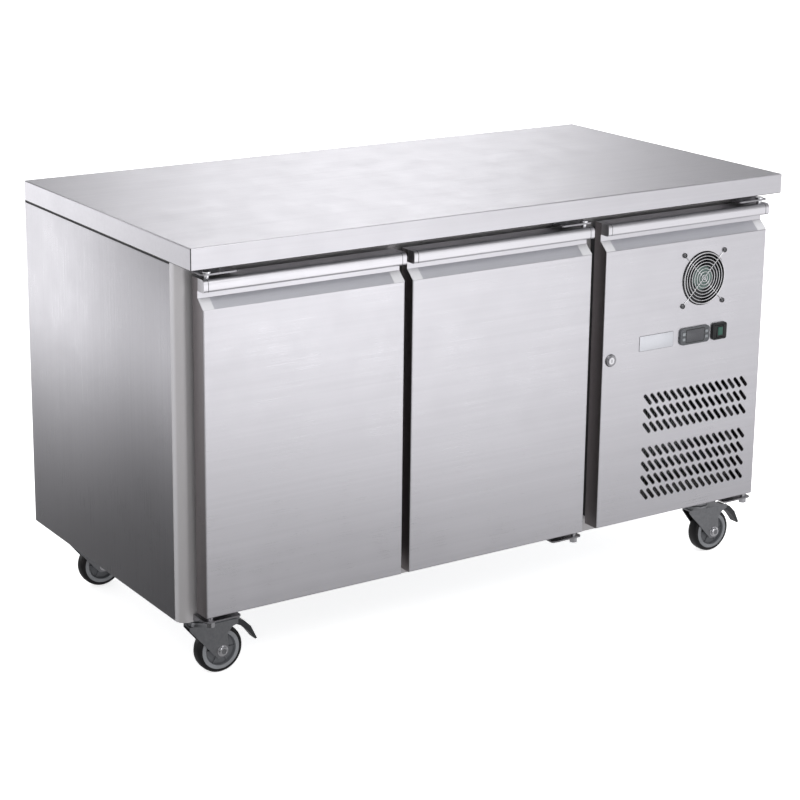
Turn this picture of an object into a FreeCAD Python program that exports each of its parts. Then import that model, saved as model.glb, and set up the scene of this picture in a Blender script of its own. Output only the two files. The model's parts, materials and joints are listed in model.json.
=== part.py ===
import FreeCAD, Part
import math
import os

V = FreeCAD.Vector
os.makedirs("parts", exist_ok=True)

# Two-door refrigerated counter with a machine bay on the right.
# Frame: +Z up, doors face -Y, X runs along the worktop. Origin on the floor
# under the middle of the whole counter, castor brake pedals included.

# ---- overall sizes ---------------------------------------------------------
overall_width = 1360.0
overall_depth = 700.0
overall_height = 850.0
castor_height = 140.0
worktop_thickness = 40.0
worktop_sheet = 1.5
worktop_edge_r = 2.0

# ---- cabinet shell ---------------------------------------------------------
frame_setback = 60.0          # worktop front edge to the frame that the doors close on
frame_depth = 20.0            # depth of the folded front frame
frame_sheet = 1.5
corner_r = 19.5               # rounded outer corners of the front frame
side_seam = 0.5               # gap between corner return and side panel
skin = 1.0                    # outer and inner cabinet sheets
base_sheet = 1.5
partition_foam = 38.0
liner = 1.0
back_foam = 59.0
louvre_rows = 12
louvre_pitch = 28.0
louvre_low = 110.0            # cabinet bottom to the lowest louvre
louvre_length = 120.0
louvre_height = 6.0
louvre_inset = 40.0           # partition to the first louvre column
louvre_gap = 30.0             # between the two louvre columns

# ---- doors -----------------------------------------------------------------
side_margin = 27.0            # cabinet side to the outer doors
door_gap = 17.0               # between the two food doors
machine_gap = 35.0            # between the food doors and the machine door
door_overhang = 8.0           # worktop front edge to the door faces
door_depth = 38.0
door_bottom = 163.0
door_clear_top = 20.0         # door top to the underside of the worktop
door_sheet = 1.0
door_edge_r = 2.5
face_top_drop = 55.0          # door top down to the top of the flat face
bevel_rise = 18.0
bevel_depth = 20.0
nose_r = 11.5                 # bull-nose lip over the finger recess
nose_offset = 7.0             # nose centre behind the door face
door_liner = 1.5
tray_inset = 60.0             # door edge to the raised middle of the inner sheet
tray_rise = 3.0
tray_corner_r = 12.0
gasket_inset = 14.0
gasket_width = 16.0
gasket_gap = 0.3
gasket_base = 5.0
gasket_corner_r = 4.0
bulb_inset = 2.0
landing = 1.5                 # frame shown inside the gasket
machine_seal_width = 5.0
machine_seal_inset = 1.0
machine_landing = 1.0
stay_width = 14.0             # inner return of the machine door
stay_lap = 2.0                # return seen outside its seal

# ---- hinges ----------------------------------------------------------------
pivot_inset = 14.0            # pivot from the hinged edge of the door
pivot_back = 12.0             # pivot behind the door face
pin_r = 5.0
pin_clear = 0.05
boss_wall = 3.5
boss_floor = 2.0
pin_collar_r = 8.5
pin_collar = 3.0
pin_knob_r = 7.5
pin_knob = 10.0
bracket_screws = (30.0, 60.0)
bracket_length = 73.0
bracket_sheet = 3.0
bracket_nose = 9.0            # bracket front edge ahead of the pivot
bracket_corner_r = 6.0
top_bracket_lift = 6.0        # door top to the top bracket
low_bracket_drop = 8.0        # door bottom to the top of the low bracket
pin_reach = 12.0              # pin length inside the door

# ---- machine door fittings -------------------------------------------------
fan_from_right = 164.4        # fan centre from the hinged edge of the machine door
fan_z = 652.5
fan_size = 119.0
fan_pitch = 105.0
fan_bore_r = 56.0
fan_depth = 25.0
fan_corner_r = 6.0
fan_motor_r = 22.0
fan_motor_depth = 6.0
fan_arm_width = 6.0
fan_arm_depth = 4.0
fan_blades = 7
fan_hub_r = 21.0
fan_shaft_r = 3.0
blade_sheet = 1.8
blade_pitch = 32.0
tip_clear = 2.0
fan_screw_r = 2.2
fan_screw_head_r = 5.0
screw_clear = 0.2
guard_rings = (19.0, 26.5, 34.0, 41.5, 49.0, 56.5)
guard_wire_r = 1.1
guard_lug_r = 5.5
guard_lug = 1.4
guard_badge_r = 12.0
guard_stand = 0.3
slot_columns = 16
slot_pitch_x = 17.13
slot_rows = 7
slot_pitch_z = 29.9
slot_break_after = 4          # rows under the wider band
slot_break = 23.0
slot_low_z = 214.0
slot_length = 27.0
slot_width = 5.75
slot_lean = 50.0
slots_from_right = 40.8       # last slot column from the hinged edge
panel_z = 536.0               # height of controller, switch and name plate
controller_from_right = 183.0
controller_width = 77.0
controller_height = 35.0
controller_proud = 4.0
controller_corner_r = 8.0
controller_lap = 4.0          # bezel over the edge of its cut-out
controller_case = 32.0
fitting_clear = 0.5           # cut-out round the case of a panel fitting
window_width = 47.0
window_height = 26.0
window_sink = 0.2
window_sheet = 1.0
window_corner_r = 2.0
key_row_pitch = 11.0
key_well = 3.2
key_proud = 0.9               # key face above the bottom of the bezel's bevel
key_corner_r = 1.2
key_stop = 0.4
key_width = 7.5
key_height = 6.0
key_travel = 0.8
key_clear = 0.3
switch_from_right = 117.5
switch_width = 37.0
switch_height = 35.0
switch_proud = 5.0
switch_corner_r = 5.0
switch_lap = 3.5
switch_case = 28.0
switch_pocket = 14.0
rocker_width = 17.0
rocker_height = 25.0
rocker_clear = 0.4
rocker_throw = 8.0
rocker_axle_r = 1.5
plate_from_right = 282.0
plate_width = 88.0
plate_height = 32.0
plate_sheet = 1.0
plate_corner_r = 2.0
lock_from_left = 20.0
lock_z = 513.0
lock_r = 9.5
lock_flange_r = 11.5
lock_proud = 5.0
lock_body_length = 22.0
lock_nut_r = 13.0
lock_fit = 0.2
lock_tail_r = 5.0
keyhole_width = 1.6
keyhole_height = 6.4
barrel_r = 7.0
barrel_clear = 0.05
cam_reach = 33.0
cam_width = 14.0
cam_sheet = 2.5
cam_clear = 1.5

# ---- inside fittings -------------------------------------------------------
shelf_width = 325.0
shelf_depth = 530.0
shelf_z = 470.0
shelf_wire = 5.0
shelf_rim = 7.0
shelf_corner_r = 14.0
shelf_bar = 6.0
shelf_wires = 12
runner_ledge = 18.0
runner_sheet = 1.5
runner_drop = 20.0
runner_side_gap = 6.0         # shelf edge to the free-standing runners
pilaster_inset = 60.0
seat_gap = 0.3
pilaster_width = 22.0
pilaster_sheet = 1.5
evaporator_wall = 44.0        # evaporator chamber width between its cover and the partition
evaporator_z = 477.0
evaporator_fan_r = 75.0
coil_height = 420.0
coil_depth = 420.0
coil_thick = 36.0
coil_gap = 3.0
coil_fins = 40
coil_rows = 7
coil_tube_r = 6.0
coil_edge = 20.0
end_plate = 2.0
fin_sheet = 1.0
evaporator_fan_depth = 18.0
evaporator_low_gap = 40.0     # bay floor to the evaporator cover
evaporator_high_gap = 4.0
evaporator_front_gap = 30.0
evaporator_back_gap = 40.0
mouth_clear = 3.0
mouth_bars = 7
mouth_bar_pitch = 18.0
evaporator_blades = 5
motor_r = 24.0
motor_depth = 12.0
motor_arm = 8.0
condenser_width = 300.0
condenser_height = 250.0
condenser_thick = 55.0
condenser_lift = 10.0
condenser_front_gap = 25.0
condenser_fins = 48
condenser_rows = 8
condenser_tube_r = 5.0
condenser_edge = 18.0
condenser_tube_inset = 16.0
tube_end = 6.0                # return bends past the end plates
condenser_fan_r = 100.0
condenser_fan_gap = 30.0
condenser_motor_r = 40.0
shroud_collar = 25.0
shroud_clear = 4.0
compressor_r = 78.0
compressor_height = 175.0
compressor_back_gap = 190.0
compressor_left_shift = 35.0  # middle of the machine bay to the compressor
compressor_dome_r = 34.0
compressor_seam_z = 88.0
compressor_foot = 4.0
compressor_pad = 14.0
compressor_pad_r = 12.0
stub_length = 12.0
stub_z = 60.0
tray_sheet = 2.0
tray_rim = 22.0
tray_gap = 8.0
tube_r = 3.2
tube_bend = 10.0
suction_bend = 22.0
pipe_offset = 16.0            # condenser end to the pipes beside it
drier_r = 9.0
drier_length = 90.0
lagging_r = 14.0
lagging_length = 60.0
electrical_width = 108.0
electrical_depth = 150.0
electrical_height = 90.0
electrical_corner_r = 6.0
gland_from_right = 60.0
gland_lift = 55.0
gland_bore_r = 4.5
gland_hole_r = 9.0
gland_fit = 0.2
gland_flange_r = 12.0
gland_flange = 3.0
gland_length = 18.0

# ---- castors ---------------------------------------------------------------
castor_inset_x = 75.0
castor_inset_y = 66.0         # from the cabinet front and back to the swivel axis
castor_trail = 36.0
wheel_r = 47.0
tyre_width = 27.0
tyre_wall = 8.0
hub_width = 29.0
axle_r = 5.0
axle_clear = 0.05
fork_sheet = 3.0
fork_gap = 2.5                # wheel hub to fork leg
fork_lean = 0.15              # inward lean of the leading facets, per unit of length
fork_front = 28.0             # swivel axis to the leading edge of the fork
fork_rear = 34.0              # wheel axle to the trailing edge of the fork
crown_clear = 7.0             # tyre to the underside of the fork crown
kingpin_r = 6.0
kingpin_clear = 0.05
race_r = 22.0
race_height = 8.0
race_gap = 0.3
castor_plate = 3.0
castor_plate_length = 90.0
castor_plate_width = 76.0
castor_bolt_x = 35.0
castor_bolt_y = 28.0
castor_bolt_r = 6.5
castor_bolt_head = 5.0
race_depth = 7.0
race_neck_r = 14.0
kingpin_flange_r = 10.0
kingpin_flange = 3.0
axle_head_r = 8.5
axle_head = 6.0
axle_end = 2.0
fork_foot = 14.0              # axle to the foot of the fork leg
fork_foot_half = 9.0
fork_waist = 11.0             # axle to the trailing edge beside the wheel
fork_side_drop = 7.0
hub_boss_r = 14.0
hub_web_sink = 5.0
hub_rim = 6.0
hub_step = 2.0
tyre_shoulder = 5.0
tread_r = 1.5
tread_inset = 3.5
tread_flat_inset = 8.5
pedal_reach = 115.0           # swivel axis to the tip of the brake pedal
pedal_width = 22.0
pedal_drop = 51.0
pedal_pin_r = 3.0
pedal_pin_drop = 4.5          # fork crown to the pedal pin
pedal_from_axle = 28.0
pedal_end_gap = 6.5

# ---- places worked out from the sizes above ---------------------------------
pedal_overhang = pedal_reach - castor_inset_x
left = -(overall_width + pedal_overhang) / 2
right = left + overall_width
front = -overall_depth / 2
back = overall_depth / 2
cab_bottom = castor_height
cab_top = overall_height - worktop_thickness
frame_front = front + frame_setback
frame_back = frame_front + frame_depth
door_face = front + door_overhang
door_back = door_face + door_depth
door_top = cab_top - door_clear_top
face_top = door_top - face_top_drop
bevel_top = face_top + bevel_rise
recess_wall = door_face + bevel_depth
nose_y = door_face + nose_offset
nose_z = door_top - nose_r
door_width = (overall_width - 2 * side_margin - door_gap - machine_gap) / 3
opening_inset = gasket_inset + gasket_width + landing
door1 = left + side_margin
door2 = door1 + door_width + door_gap
door3 = door2 + door_width + machine_gap
door3_right = door3 + door_width
bay_low = door_bottom + opening_inset
bay_high = door_top - opening_inset
bay1 = (door1 + opening_inset, door1 + door_width - opening_inset)
bay2 = (door2 + opening_inset, door2 + door_width - opening_inset)
bay3 = (door3 + machine_seal_inset + machine_seal_width + machine_landing,
        door3_right - gasket_inset - machine_seal_width - machine_landing)
liner_back = back - skin - back_foam
chamber_right = bay2[1] + skin + evaporator_wall + coil_thick
partition_right = chamber_right + liner + partition_foam + skin
pivot_y = door_face + pivot_back
pivots = {
    "left": (door1 + pivot_inset, 1),
    "right": (door2 + door_width - pivot_inset, -1),
    "machine": (door3_right - pivot_inset, -1),
}
hub_half = hub_width / 2
leg_in = hub_half + fork_gap
leg_out = leg_in + fork_sheet
crown_low = 2 * wheel_r + crown_clear
crown_top = crown_low + fork_sheet
fork_left_x = -fork_front
fork_right_x = castor_trail + fork_rear
fork_bend_x = castor_trail / 2
pedal_x = castor_trail + pedal_from_axle
pedal_z = crown_low - pedal_pin_drop


# ---- helpers ---------------------------------------------------------------
def box(x0, x1, y0, y1, z0, z1):
    return Part.makeBox(x1 - x0, y1 - y0, z1 - z0, V(x0, y0, z0))


def cyl_x(x0, x1, y, z, r):
    return Part.makeCylinder(r, x1 - x0, V(x0, y, z), V(1, 0, 0))


def cyl_y(x, y0, y1, z, r):
    return Part.makeCylinder(r, y1 - y0, V(x, y0, z), V(0, 1, 0))


def cyl_z(x, y, z0, z1, r):
    return Part.makeCylinder(r, z1 - z0, V(x, y, z0), V(0, 0, 1))


def face_of(points):
    wire = Part.makePolygon([V(*p) for p in points] + [V(*points[0])])
    return Part.Face(wire)


def prism_x(yz, x0, x1):
    return face_of([(x0, y, z) for y, z in yz]).extrude(V(x1 - x0, 0, 0))


def prism_y(xz, y0, y1):
    return face_of([(x, y0, z) for x, z in xz]).extrude(V(0, y1 - y0, 0))


def prism_z(xy, z0, z1):
    return face_of([(x, y, z0) for x, y in xy]).extrude(V(0, 0, z1 - z0))


def joined(shapes):
    return shapes[0].multiFuse(shapes[1:]).removeSplitter()


def edges_where(shape, test):
    return [e for e in shape.Edges if all(test(v.Point) for v in e.Vertexes)]


def rounded(shape, radius, test):
    return shape.makeFillet(radius, edges_where(shape, test))


def near(a, b):
    return abs(a - b) < 1e-4


def rounded_box_y(x0, x1, y0, y1, z0, z1, radius):
    """A box whose four edges along Y are rounded."""
    solid = box(x0, x1, y0, y1, z0, z1)
    return rounded_corners_y(solid, x0, x1, z0, z1, radius)


def rounded_corners_y(solid, x0, x1, z0, z1, radius):
    corners = [e for e in solid.Edges
               if near(e.Vertexes[0].X, e.Vertexes[-1].X)
               and near(e.Vertexes[0].Z, e.Vertexes[-1].Z)
               and (near(e.Vertexes[0].X, x0) or near(e.Vertexes[0].X, x1))
               and (near(e.Vertexes[0].Z, z0) or near(e.Vertexes[0].Z, z1))]
    return solid.makeFillet(radius, corners)


def tube(points, radius, bend):
    """A round bar along straight runs joined by tangent arcs."""
    edges = []
    start = V(*points[0])
    for i in range(1, len(points) - 1):
        corner = V(*points[i])
        to_last = (V(*points[i - 1]) - corner).normalize()
        to_next = (V(*points[i + 1]) - corner).normalize()
        half = to_last.getAngle(to_next) / 2
        reach = bend / math.tan(half)
        arc_start = corner + to_last * reach
        arc_end = corner + to_next * reach
        middle_way = (to_last + to_next).normalize()
        arc_middle = corner + middle_way * (bend / math.sin(half) - bend)
        edges.append(Part.LineSegment(start, arc_start).toShape())
        edges.append(Part.Arc(arc_start, arc_middle, arc_end).toShape())
        start = arc_end
    edges.append(Part.LineSegment(start, V(*points[-1])).toShape())
    direction = V(*points[1]) - V(*points[0])
    section = Part.Wire(Part.makeCircle(radius, V(*points[0]), direction))
    return Part.Wire(edges).makePipeShell([section], True, False)


def export(name, *solids):
    shape = solids[0] if len(solids) == 1 else Part.makeCompound(list(solids))
    shape.exportStep("parts/" + name + ".step")


# ---- worktop ---------------------------------------------------------------
def make_worktop():
    t = worktop_sheet
    block = box(left, right, front, back, cab_top, overall_height)
    block = rounded(block, worktop_edge_r, lambda p: near(p.z, overall_height))
    hollow = box(left + t, right - t, front + t, back - t, cab_top - 1, overall_height - t)
    underside = box(left + t, right - t, front + t, back - t, cab_top, cab_top + t)
    export("worktop", block.cut(hollow), underside)
    return box(left + t, right - t, front + t, back - t, cab_top + t, overall_height - t)


# ---- cabinet ---------------------------------------------------------------
def make_side_panels():
    y0 = frame_back + side_seam
    export("side_panel_left", box(left, left + skin, y0, back, cab_bottom, cab_top))
    export("side_panel_right", box(right - skin, right, y0, back, cab_bottom, cab_top))


def louvre_cuts():
    """Rear air slots of the machine bay."""
    cuts = []
    first = partition_right + louvre_inset
    for row in range(louvre_rows):
        z = cab_bottom + louvre_low + row * louvre_pitch
        for x0 in (first, first + louvre_length + louvre_gap):
            cuts.append(box(x0, x0 + louvre_length, back - skin - 1, back + 1, z, z + louvre_height))
    return Part.makeCompound(cuts)


def make_back_panel():
    panel = box(left + skin, right - skin, back - skin, back, cab_bottom + base_sheet, cab_top)
    gland_hole = cyl_y(gland_x, back - skin - 1, back + 1, gland_z, gland_hole_r)
    export("back_panel", panel.cut(louvre_cuts()).cut(gland_hole))


def make_base_panel():
    x1 = right - skin
    export("base_panel", box(left + skin, x1, frame_back, back, cab_bottom, cab_bottom + base_sheet))


def channel(x0, x1, z0, z1):
    """A folded frame member, open at the back, and the foam that fills it."""
    t = frame_sheet
    outer = box(x0, x1, frame_front, frame_back, z0, z1)
    inner = box(x0 + t, x1 - t, frame_front + t, frame_back, z0 + t, z1 - t)
    return outer, inner


def corner_channel(x0, x1, outer_x):
    """A full-height stile with the rounded outer corner of the cabinet."""
    t = frame_sheet
    outer, inner = channel(x0, x1, cab_bottom, cab_top)
    outer = rounded(outer, corner_r, lambda p: near(p.x, outer_x) and near(p.y, frame_front))
    inner_x = outer_x + t if near(outer_x, x0) else outer_x - t
    inner = rounded(inner, corner_r - t,
                    lambda p: near(p.x, inner_x) and near(p.y, frame_front + t))
    return outer, inner


def make_front_frame():
    members = [corner_channel(left, bay1[0], left), corner_channel(bay3[1], right, right)]
    members.append(channel(bay1[0], bay3[1], cab_bottom, bay_low))
    members.append(channel(bay1[0], bay3[1], bay_high, cab_top))
    members.append(channel(bay1[1], bay2[0], bay_low, bay_high))
    members.append(channel(bay2[1], bay3[0], bay_low, bay_high))
    slot = box(door3 + lock_from_left - cam_reach - cam_clear, bay3[0] + 1,
               cam_plane - cam_clear, cam_plane + cam_sheet + cam_clear,
               lock_z - cam_reach - cam_clear, lock_z + cam_width / 2 + cam_clear)
    shells = [outer.cut(inner) for outer, inner in members]
    shells[5] = shells[5].cut(slot)
    export("front_frame", *shells)
    fills = [inner for outer, inner in members]
    fills[5] = fills[5].cut(slot)
    return fills


def make_foam(fills):
    x0 = left + skin
    y1 = back - skin
    z0 = cab_bottom + base_sheet
    inner_x0 = bay1[0] - liner
    foam_right = partition_right - skin
    slabs = [
        box(x0, inner_x0, frame_back, y1, z0, cab_top),
        box(inner_x0, foam_right, frame_back, y1, z0, bay_low - liner),
        box(inner_x0, foam_right, frame_back, y1, bay_high + liner, cab_top),
        box(inner_x0, foam_right, liner_back + liner, y1, bay_low - liner, bay_high + liner),
        box(chamber_right + liner, foam_right, frame_back + skin, liner_back + liner,
            bay_low - liner, bay_high + liner),
    ]
    export("cabinet_foam", *(slabs + fills))


def make_liner():
    """Inner sheets of the food compartment; its joints are coved and sealed."""
    x0 = bay1[0] - liner
    x1 = chamber_right + liner
    export(
        "inner_liner",
        box(x0, bay1[0], frame_back, liner_back + liner, bay_low, bay_high),
        box(x0, x1, frame_back, liner_back + liner, bay_low - liner, bay_low),
        box(x0, x1, frame_back, liner_back + liner, bay_high, bay_high + liner),
        box(bay1[0], chamber_right, liner_back, liner_back + liner, bay_low, bay_high),
        box(chamber_right, x1, frame_back + skin, liner_back + liner, bay_low, bay_high),
    )


def make_partition_panel():
    """Machine-bay side of the insulated partition, returned along its front edge."""
    z0 = cab_bottom + base_sheet
    side = box(partition_right - skin, partition_right, frame_back, back - skin, z0, cab_top)
    lip = box(bay3[0], partition_right - skin, frame_back, frame_back + skin, bay_low, bay_high)
    export("partition_panel", side, lip)


# ---- doors -----------------------------------------------------------------
def door_outline():
    """Section of a door, bottom back corner round to the top back corner."""
    return [
        (door_back, door_bottom), (door_face, door_bottom), (door_face, face_top),
        (recess_wall, bevel_top), (recess_wall, nose_z - nose_r), (nose_y, nose_z - nose_r),
        (nose_y, door_top), (door_back, door_top),
    ]


def door_body(x0, x1):
    """Solid outside shape of a door, finger recess and bull-nose lip included."""
    slab = prism_x(door_outline(), x0, x1)
    slab = rounded(slab, door_edge_r, lambda p: near(p.y, door_face))
    nose = cyl_x(x0, x1, nose_y, nose_z, nose_r)
    return joined([slab, nose])


def door_hollow(x0, x1):
    """Space inside the door sheet, open at the back."""
    t = door_sheet
    behind = door_back + 1
    low = door_bottom + t
    wall = recess_wall + t
    main = prism_x([
        (behind, low), (door_face + t, low), (door_face + t, face_top - t),
        (wall, bevel_top - t), (wall, door_top - t), (behind, door_top - t),
    ], x0 + t, x1 - t)
    under = nose_z - nose_r + t
    bridge = box(x0 + t, x1 - t, nose_y, wall, under, door_top - t)
    roll = cyl_x(x0 + t, x1 - t, nose_y, nose_z, nose_r - t)
    return joined([main, bridge, roll])


def hinge_bosses(x):
    """Bosses welded inside the door for the two hinge pins."""
    r = pin_r + boss_wall
    depth = pin_reach + boss_floor
    high = cyl_z(x, pivot_y, door_top - depth, door_top - door_sheet / 2, r)
    low = cyl_z(x, pivot_y, door_bottom + door_sheet / 2, door_bottom + depth, r)
    return [high, low]


def pin_holes(x):
    r = pin_r + pin_clear
    high = cyl_z(x, pivot_y, door_top - pin_reach - 1, door_top + 1, r)
    low = cyl_z(x, pivot_y, door_bottom - 1, door_bottom + pin_reach + 1, r)
    return Part.makeCompound([high, low])


def door_skin(x0, x1, pivot_x):
    shell = door_body(x0, x1).cut(door_hollow(x0, x1))
    return joined([shell] + hinge_bosses(pivot_x)).cut(pin_holes(pivot_x))


def frame_ring(x0, x1, z0, z1, width, y0, y1, radius):
    outer = rounded_box_y(x0, x1, y0, y1, z0, z1, radius)
    return outer.cut(box(x0 + width, x1 - width, y0 - 1, y1 + 1, z0 + width, z1 - width))


def make_food_door(side, x0):
    x1 = x0 + door_width
    pivot_x = pivots[side][0]
    name = "door_" + side
    export(name + "_skin", door_skin(x0, x1, pivot_x))
    t = door_sheet
    plate = box(x0 + t, x1 - t, door_back - door_liner, door_back,
                door_bottom + t, door_top - t)
    tray = rounded_box_y(x0 + tray_inset, x1 - tray_inset,
                         door_back - door_liner, door_back + tray_rise,
                         door_bottom + tray_inset, door_top - tray_inset, tray_corner_r)
    export(name + "_liner", joined([plate, tray]))
    core = door_hollow(x0, x1).cut(box(x0, x1, door_back - door_liner, door_back + 2,
                                       door_bottom, door_top))
    export(name + "_foam", core.cut(Part.makeCompound(hinge_bosses(pivot_x))))
    gx0 = x0 + gasket_inset
    gx1 = x1 - gasket_inset
    gz0 = door_bottom + gasket_inset
    gz1 = door_top - gasket_inset
    base = frame_ring(gx0, gx1, gz0, gz1, gasket_width, door_back, door_back + gasket_base,
                      gasket_corner_r)
    b = bulb_inset
    bulb = frame_ring(gx0 + b, gx1 - b, gz0 + b, gz1 - b, gasket_width - 2 * b,
                      door_back + gasket_base, frame_front - gasket_gap, gasket_corner_r - 1)
    export(name + "_gasket", joined([base, bulb]))


# ---- machine door ----------------------------------------------------------
fan_x = door3_right - fan_from_right
controller_x = door3_right - controller_from_right
switch_x = door3_right - switch_from_right
plate_x = door3_right - plate_from_right
lock_x = door3 + lock_from_left
cam_plane = frame_front + frame_sheet + 3.0
rocker_y = door_face - 1.0
gland_x = right - gland_from_right
gland_z = cab_bottom + gland_lift


def slot_rows_z():
    rows = []
    for row in range(slot_rows):
        extra = 0.0 if row < slot_break_after else slot_break
        rows.append(slot_low_z + row * slot_pitch_z + extra)
    return rows


def vent_slots():
    straight = slot_length - slot_width
    y0 = door_face - 1
    y1 = door_face + door_sheet + 1
    half = slot_width / 2
    bar = box(-straight / 2, straight / 2, y0, y1, -half, half)
    one = joined([bar, cyl_y(-straight / 2, y0, y1, 0, half), cyl_y(straight / 2, y0, y1, 0, half)])
    one.rotate(V(0, 0, 0), V(0, 1, 0), slot_lean)
    last_x = door3_right - slots_from_right
    cuts = []
    for z in slot_rows_z():
        for column in range(slot_columns):
            copy = one.copy()
            copy.translate(V(last_x - column * slot_pitch_x, 0, z))
            cuts.append(copy)
    return Part.makeCompound(cuts)


def fan_screw_places():
    half = fan_pitch / 2
    return [(fan_x + sx * half, fan_z + sz * half) for sx in (-1, 1) for sz in (-1, 1)]


def panel_cut(x, width, height, lap):
    """Cut-out behind the bezel of a panel fitting."""
    half_w = width / 2 - lap + fitting_clear
    half_h = height / 2 - lap + fitting_clear
    return box(x - half_w, x + half_w, door_face - 1, door_face + door_sheet + 1,
               panel_z - half_h, panel_z + half_h)


def machine_door_stays():
    """Inner return that the seal of the machine door is fixed to."""
    x0 = door3 + door_sheet
    x1 = door3_right - door_sheet
    y0 = door_back - door_liner
    low = door_bottom + gasket_inset - stay_lap
    high = door_top - gasket_inset + stay_lap
    return_x = door3_right - gasket_inset - machine_seal_width - 2 * stay_lap - 1
    inner_x = door3 + machine_seal_inset + machine_seal_width + stay_lap + 1
    return joined([
        box(x0, x1, y0, door_back, low, low + stay_width),
        box(x0, x1, y0, door_back, high - stay_width, high),
        box(x0, inner_x, y0, door_back, low + stay_width, high - stay_width),
        box(return_x, x1, y0, door_back, low + stay_width, high - stay_width),
    ])


def make_machine_door():
    skin_solid = door_skin(door3, door3_right, pivots["machine"][0])
    y0 = door_face - 1
    y1 = door_face + door_sheet + 1
    cuts = [vent_slots(), cyl_y(fan_x, y0, y1, fan_z, fan_bore_r)]
    for x, z in fan_screw_places():
        cuts.append(cyl_y(x, y0, y1, z, fan_screw_r))
    cuts.append(panel_cut(controller_x, controller_width, controller_height, controller_lap))
    cuts.append(panel_cut(switch_x, switch_width, switch_height, switch_lap))
    cuts.append(cyl_y(lock_x, y0, y1, lock_z, lock_r))
    skin_solid = skin_solid.cut(Part.makeCompound(cuts))
    ring = frame_ring(door3 + machine_seal_inset, door3_right - gasket_inset,
                      door_bottom + gasket_inset, door_top - gasket_inset,
                      machine_seal_width, door_back, frame_front - gasket_gap, gasket_corner_r / 2)
    export("machine_door_skin", skin_solid, machine_door_stays())
    export("machine_door_seal", ring)


def fan_arms(inner_r, outer_r, y0, y1, width, angles):
    """Flat arms of a fan motor mount about the Y axis."""
    arms = []
    for angle in angles:
        arm = box(inner_r, outer_r, y0, y1, -width / 2, width / 2)
        arm.rotate(V(0, 0, 0), V(0, 1, 0), angle)
        arms.append(arm)
    return arms


def make_vent_fan():
    y0 = door_face + door_sheet
    y1 = y0 + fan_depth
    half = fan_size / 2
    body = rounded_box_y(fan_x - half, fan_x + half, y0, y1, fan_z - half, fan_z + half, fan_corner_r)
    body = body.cut(cyl_y(fan_x, y0 - 1, y1 + 1, fan_z, fan_bore_r))
    motor = cyl_y(fan_x, y1 - fan_motor_depth, y1, fan_z, fan_motor_r)
    arms = fan_arms(fan_motor_r - 4, fan_bore_r + 3, y1 - fan_arm_depth, y1, fan_arm_width,
                    (45, 135, 225, 315))
    for arm in arms:
        arm.translate(V(fan_x, 0, fan_z))
    shaft = cyl_y(fan_x, y0 + 8, y1 - fan_motor_depth + 1, fan_z, fan_shaft_r)
    frame = joined([body, motor] + arms + [shaft])
    holes = [cyl_y(x, y0 - 1, y1 + 1, z, fan_screw_r) for x, z in fan_screw_places()]
    export("vent_fan_frame", frame.cut(Part.makeCompound(holes)))
    export("vent_fan_rotor", fan_rotor(fan_x, fan_z, y0 + 3, y1 - fan_motor_depth - 1, fan_hub_r,
                                       fan_bore_r - tip_clear, fan_blades))


def fan_rotor(x, z, y0, y1, hub_r, tip_r, blades):
    """Hub and pitched blades of an axial fan about an axis along Y."""
    pieces = [cyl_y(0, y0, y1, 0, hub_r)]
    middle = (y0 + y1) / 2
    chord = (y1 - y0 - 1) * 0.9
    for blade in range(blades):
        plate = box(hub_r - 2, tip_r, middle - blade_sheet / 2, middle + blade_sheet / 2, -chord, chord)
        plate.rotate(V(0, middle, 0), V(1, 0, 0), blade_pitch)
        plate.rotate(V(0, 0, 0), V(0, 1, 0), blade * 360.0 / blades)
        pieces.append(plate)
    solid = joined(pieces).common(cyl_y(0, y0, y1, 0, tip_r))
    solid = solid.cut(cyl_y(0, y0 + 4, y1 + 1, 0, fan_shaft_r + axle_clear))
    solid.translate(V(x, 0, z))
    return solid


def make_vent_guard():
    """Wire finger guard and its four dome screws."""
    y = door_face - guard_wire_r - guard_stand
    front_y = y - guard_wire_r + 0.7
    back_y = door_face - guard_stand + 0.1
    pieces = []
    for r in guard_rings:
        pieces.append(Part.makeTorus(r, guard_wire_r, V(fan_x, y, fan_z), V(0, 1, 0)))
    corner = fan_pitch / math.sqrt(2)
    reach = corner - 3
    for angle in (45, 135):
        spoke = box(-reach, reach, front_y, back_y, -guard_wire_r, guard_wire_r)
        spoke.rotate(V(0, 0, 0), V(0, 1, 0), angle)
        spoke.translate(V(fan_x, 0, fan_z))
        pieces.append(spoke)
    for x, z in fan_screw_places():
        lug = cyl_y(x, door_face - guard_stand + 0.1 - guard_lug, back_y, z, guard_lug_r)
        pieces.append(lug.cut(cyl_y(x, door_face - 3, door_face + 1, z, fan_screw_r)))
    pieces.append(cyl_y(fan_x, front_y, back_y, fan_z, guard_badge_r))
    screws = []
    head = fan_screw_head_r
    seat = door_face - guard_stand + 0.1 - guard_lug - guard_stand
    for x, z in fan_screw_places():
        dome = Part.makeSphere(head, V(x, door_face + 0.6, z))
        dome = dome.common(box(x - head, x + head, seat - head, seat, z - head, z + head))
        shank = cyl_y(x, seat - 1, door_face + door_sheet + fan_depth, z, fan_screw_r - screw_clear)
        screws.append(joined([dome, shank]))
    export("vent_fan_guard", joined(pieces), *screws)


def key_places():
    places = []
    key_x = (controller_width + window_width) / 4 - 1.0
    for side_name, sign in (("left", -1), ("right", 1)):
        for row_name, up in (("upper", 1), ("lower", -1)):
            name = "controller_key_" + side_name + "_" + row_name
            places.append((name, controller_x + sign * key_x, panel_z + up * key_row_pitch / 2))
    return places


def centred_y(x, z, width, height, y0, y1, radius):
    """A rounded box along Y about a centre."""
    return rounded_box_y(x - width / 2, x + width / 2, y0, y1, z - height / 2, z + height / 2, radius)


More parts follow.
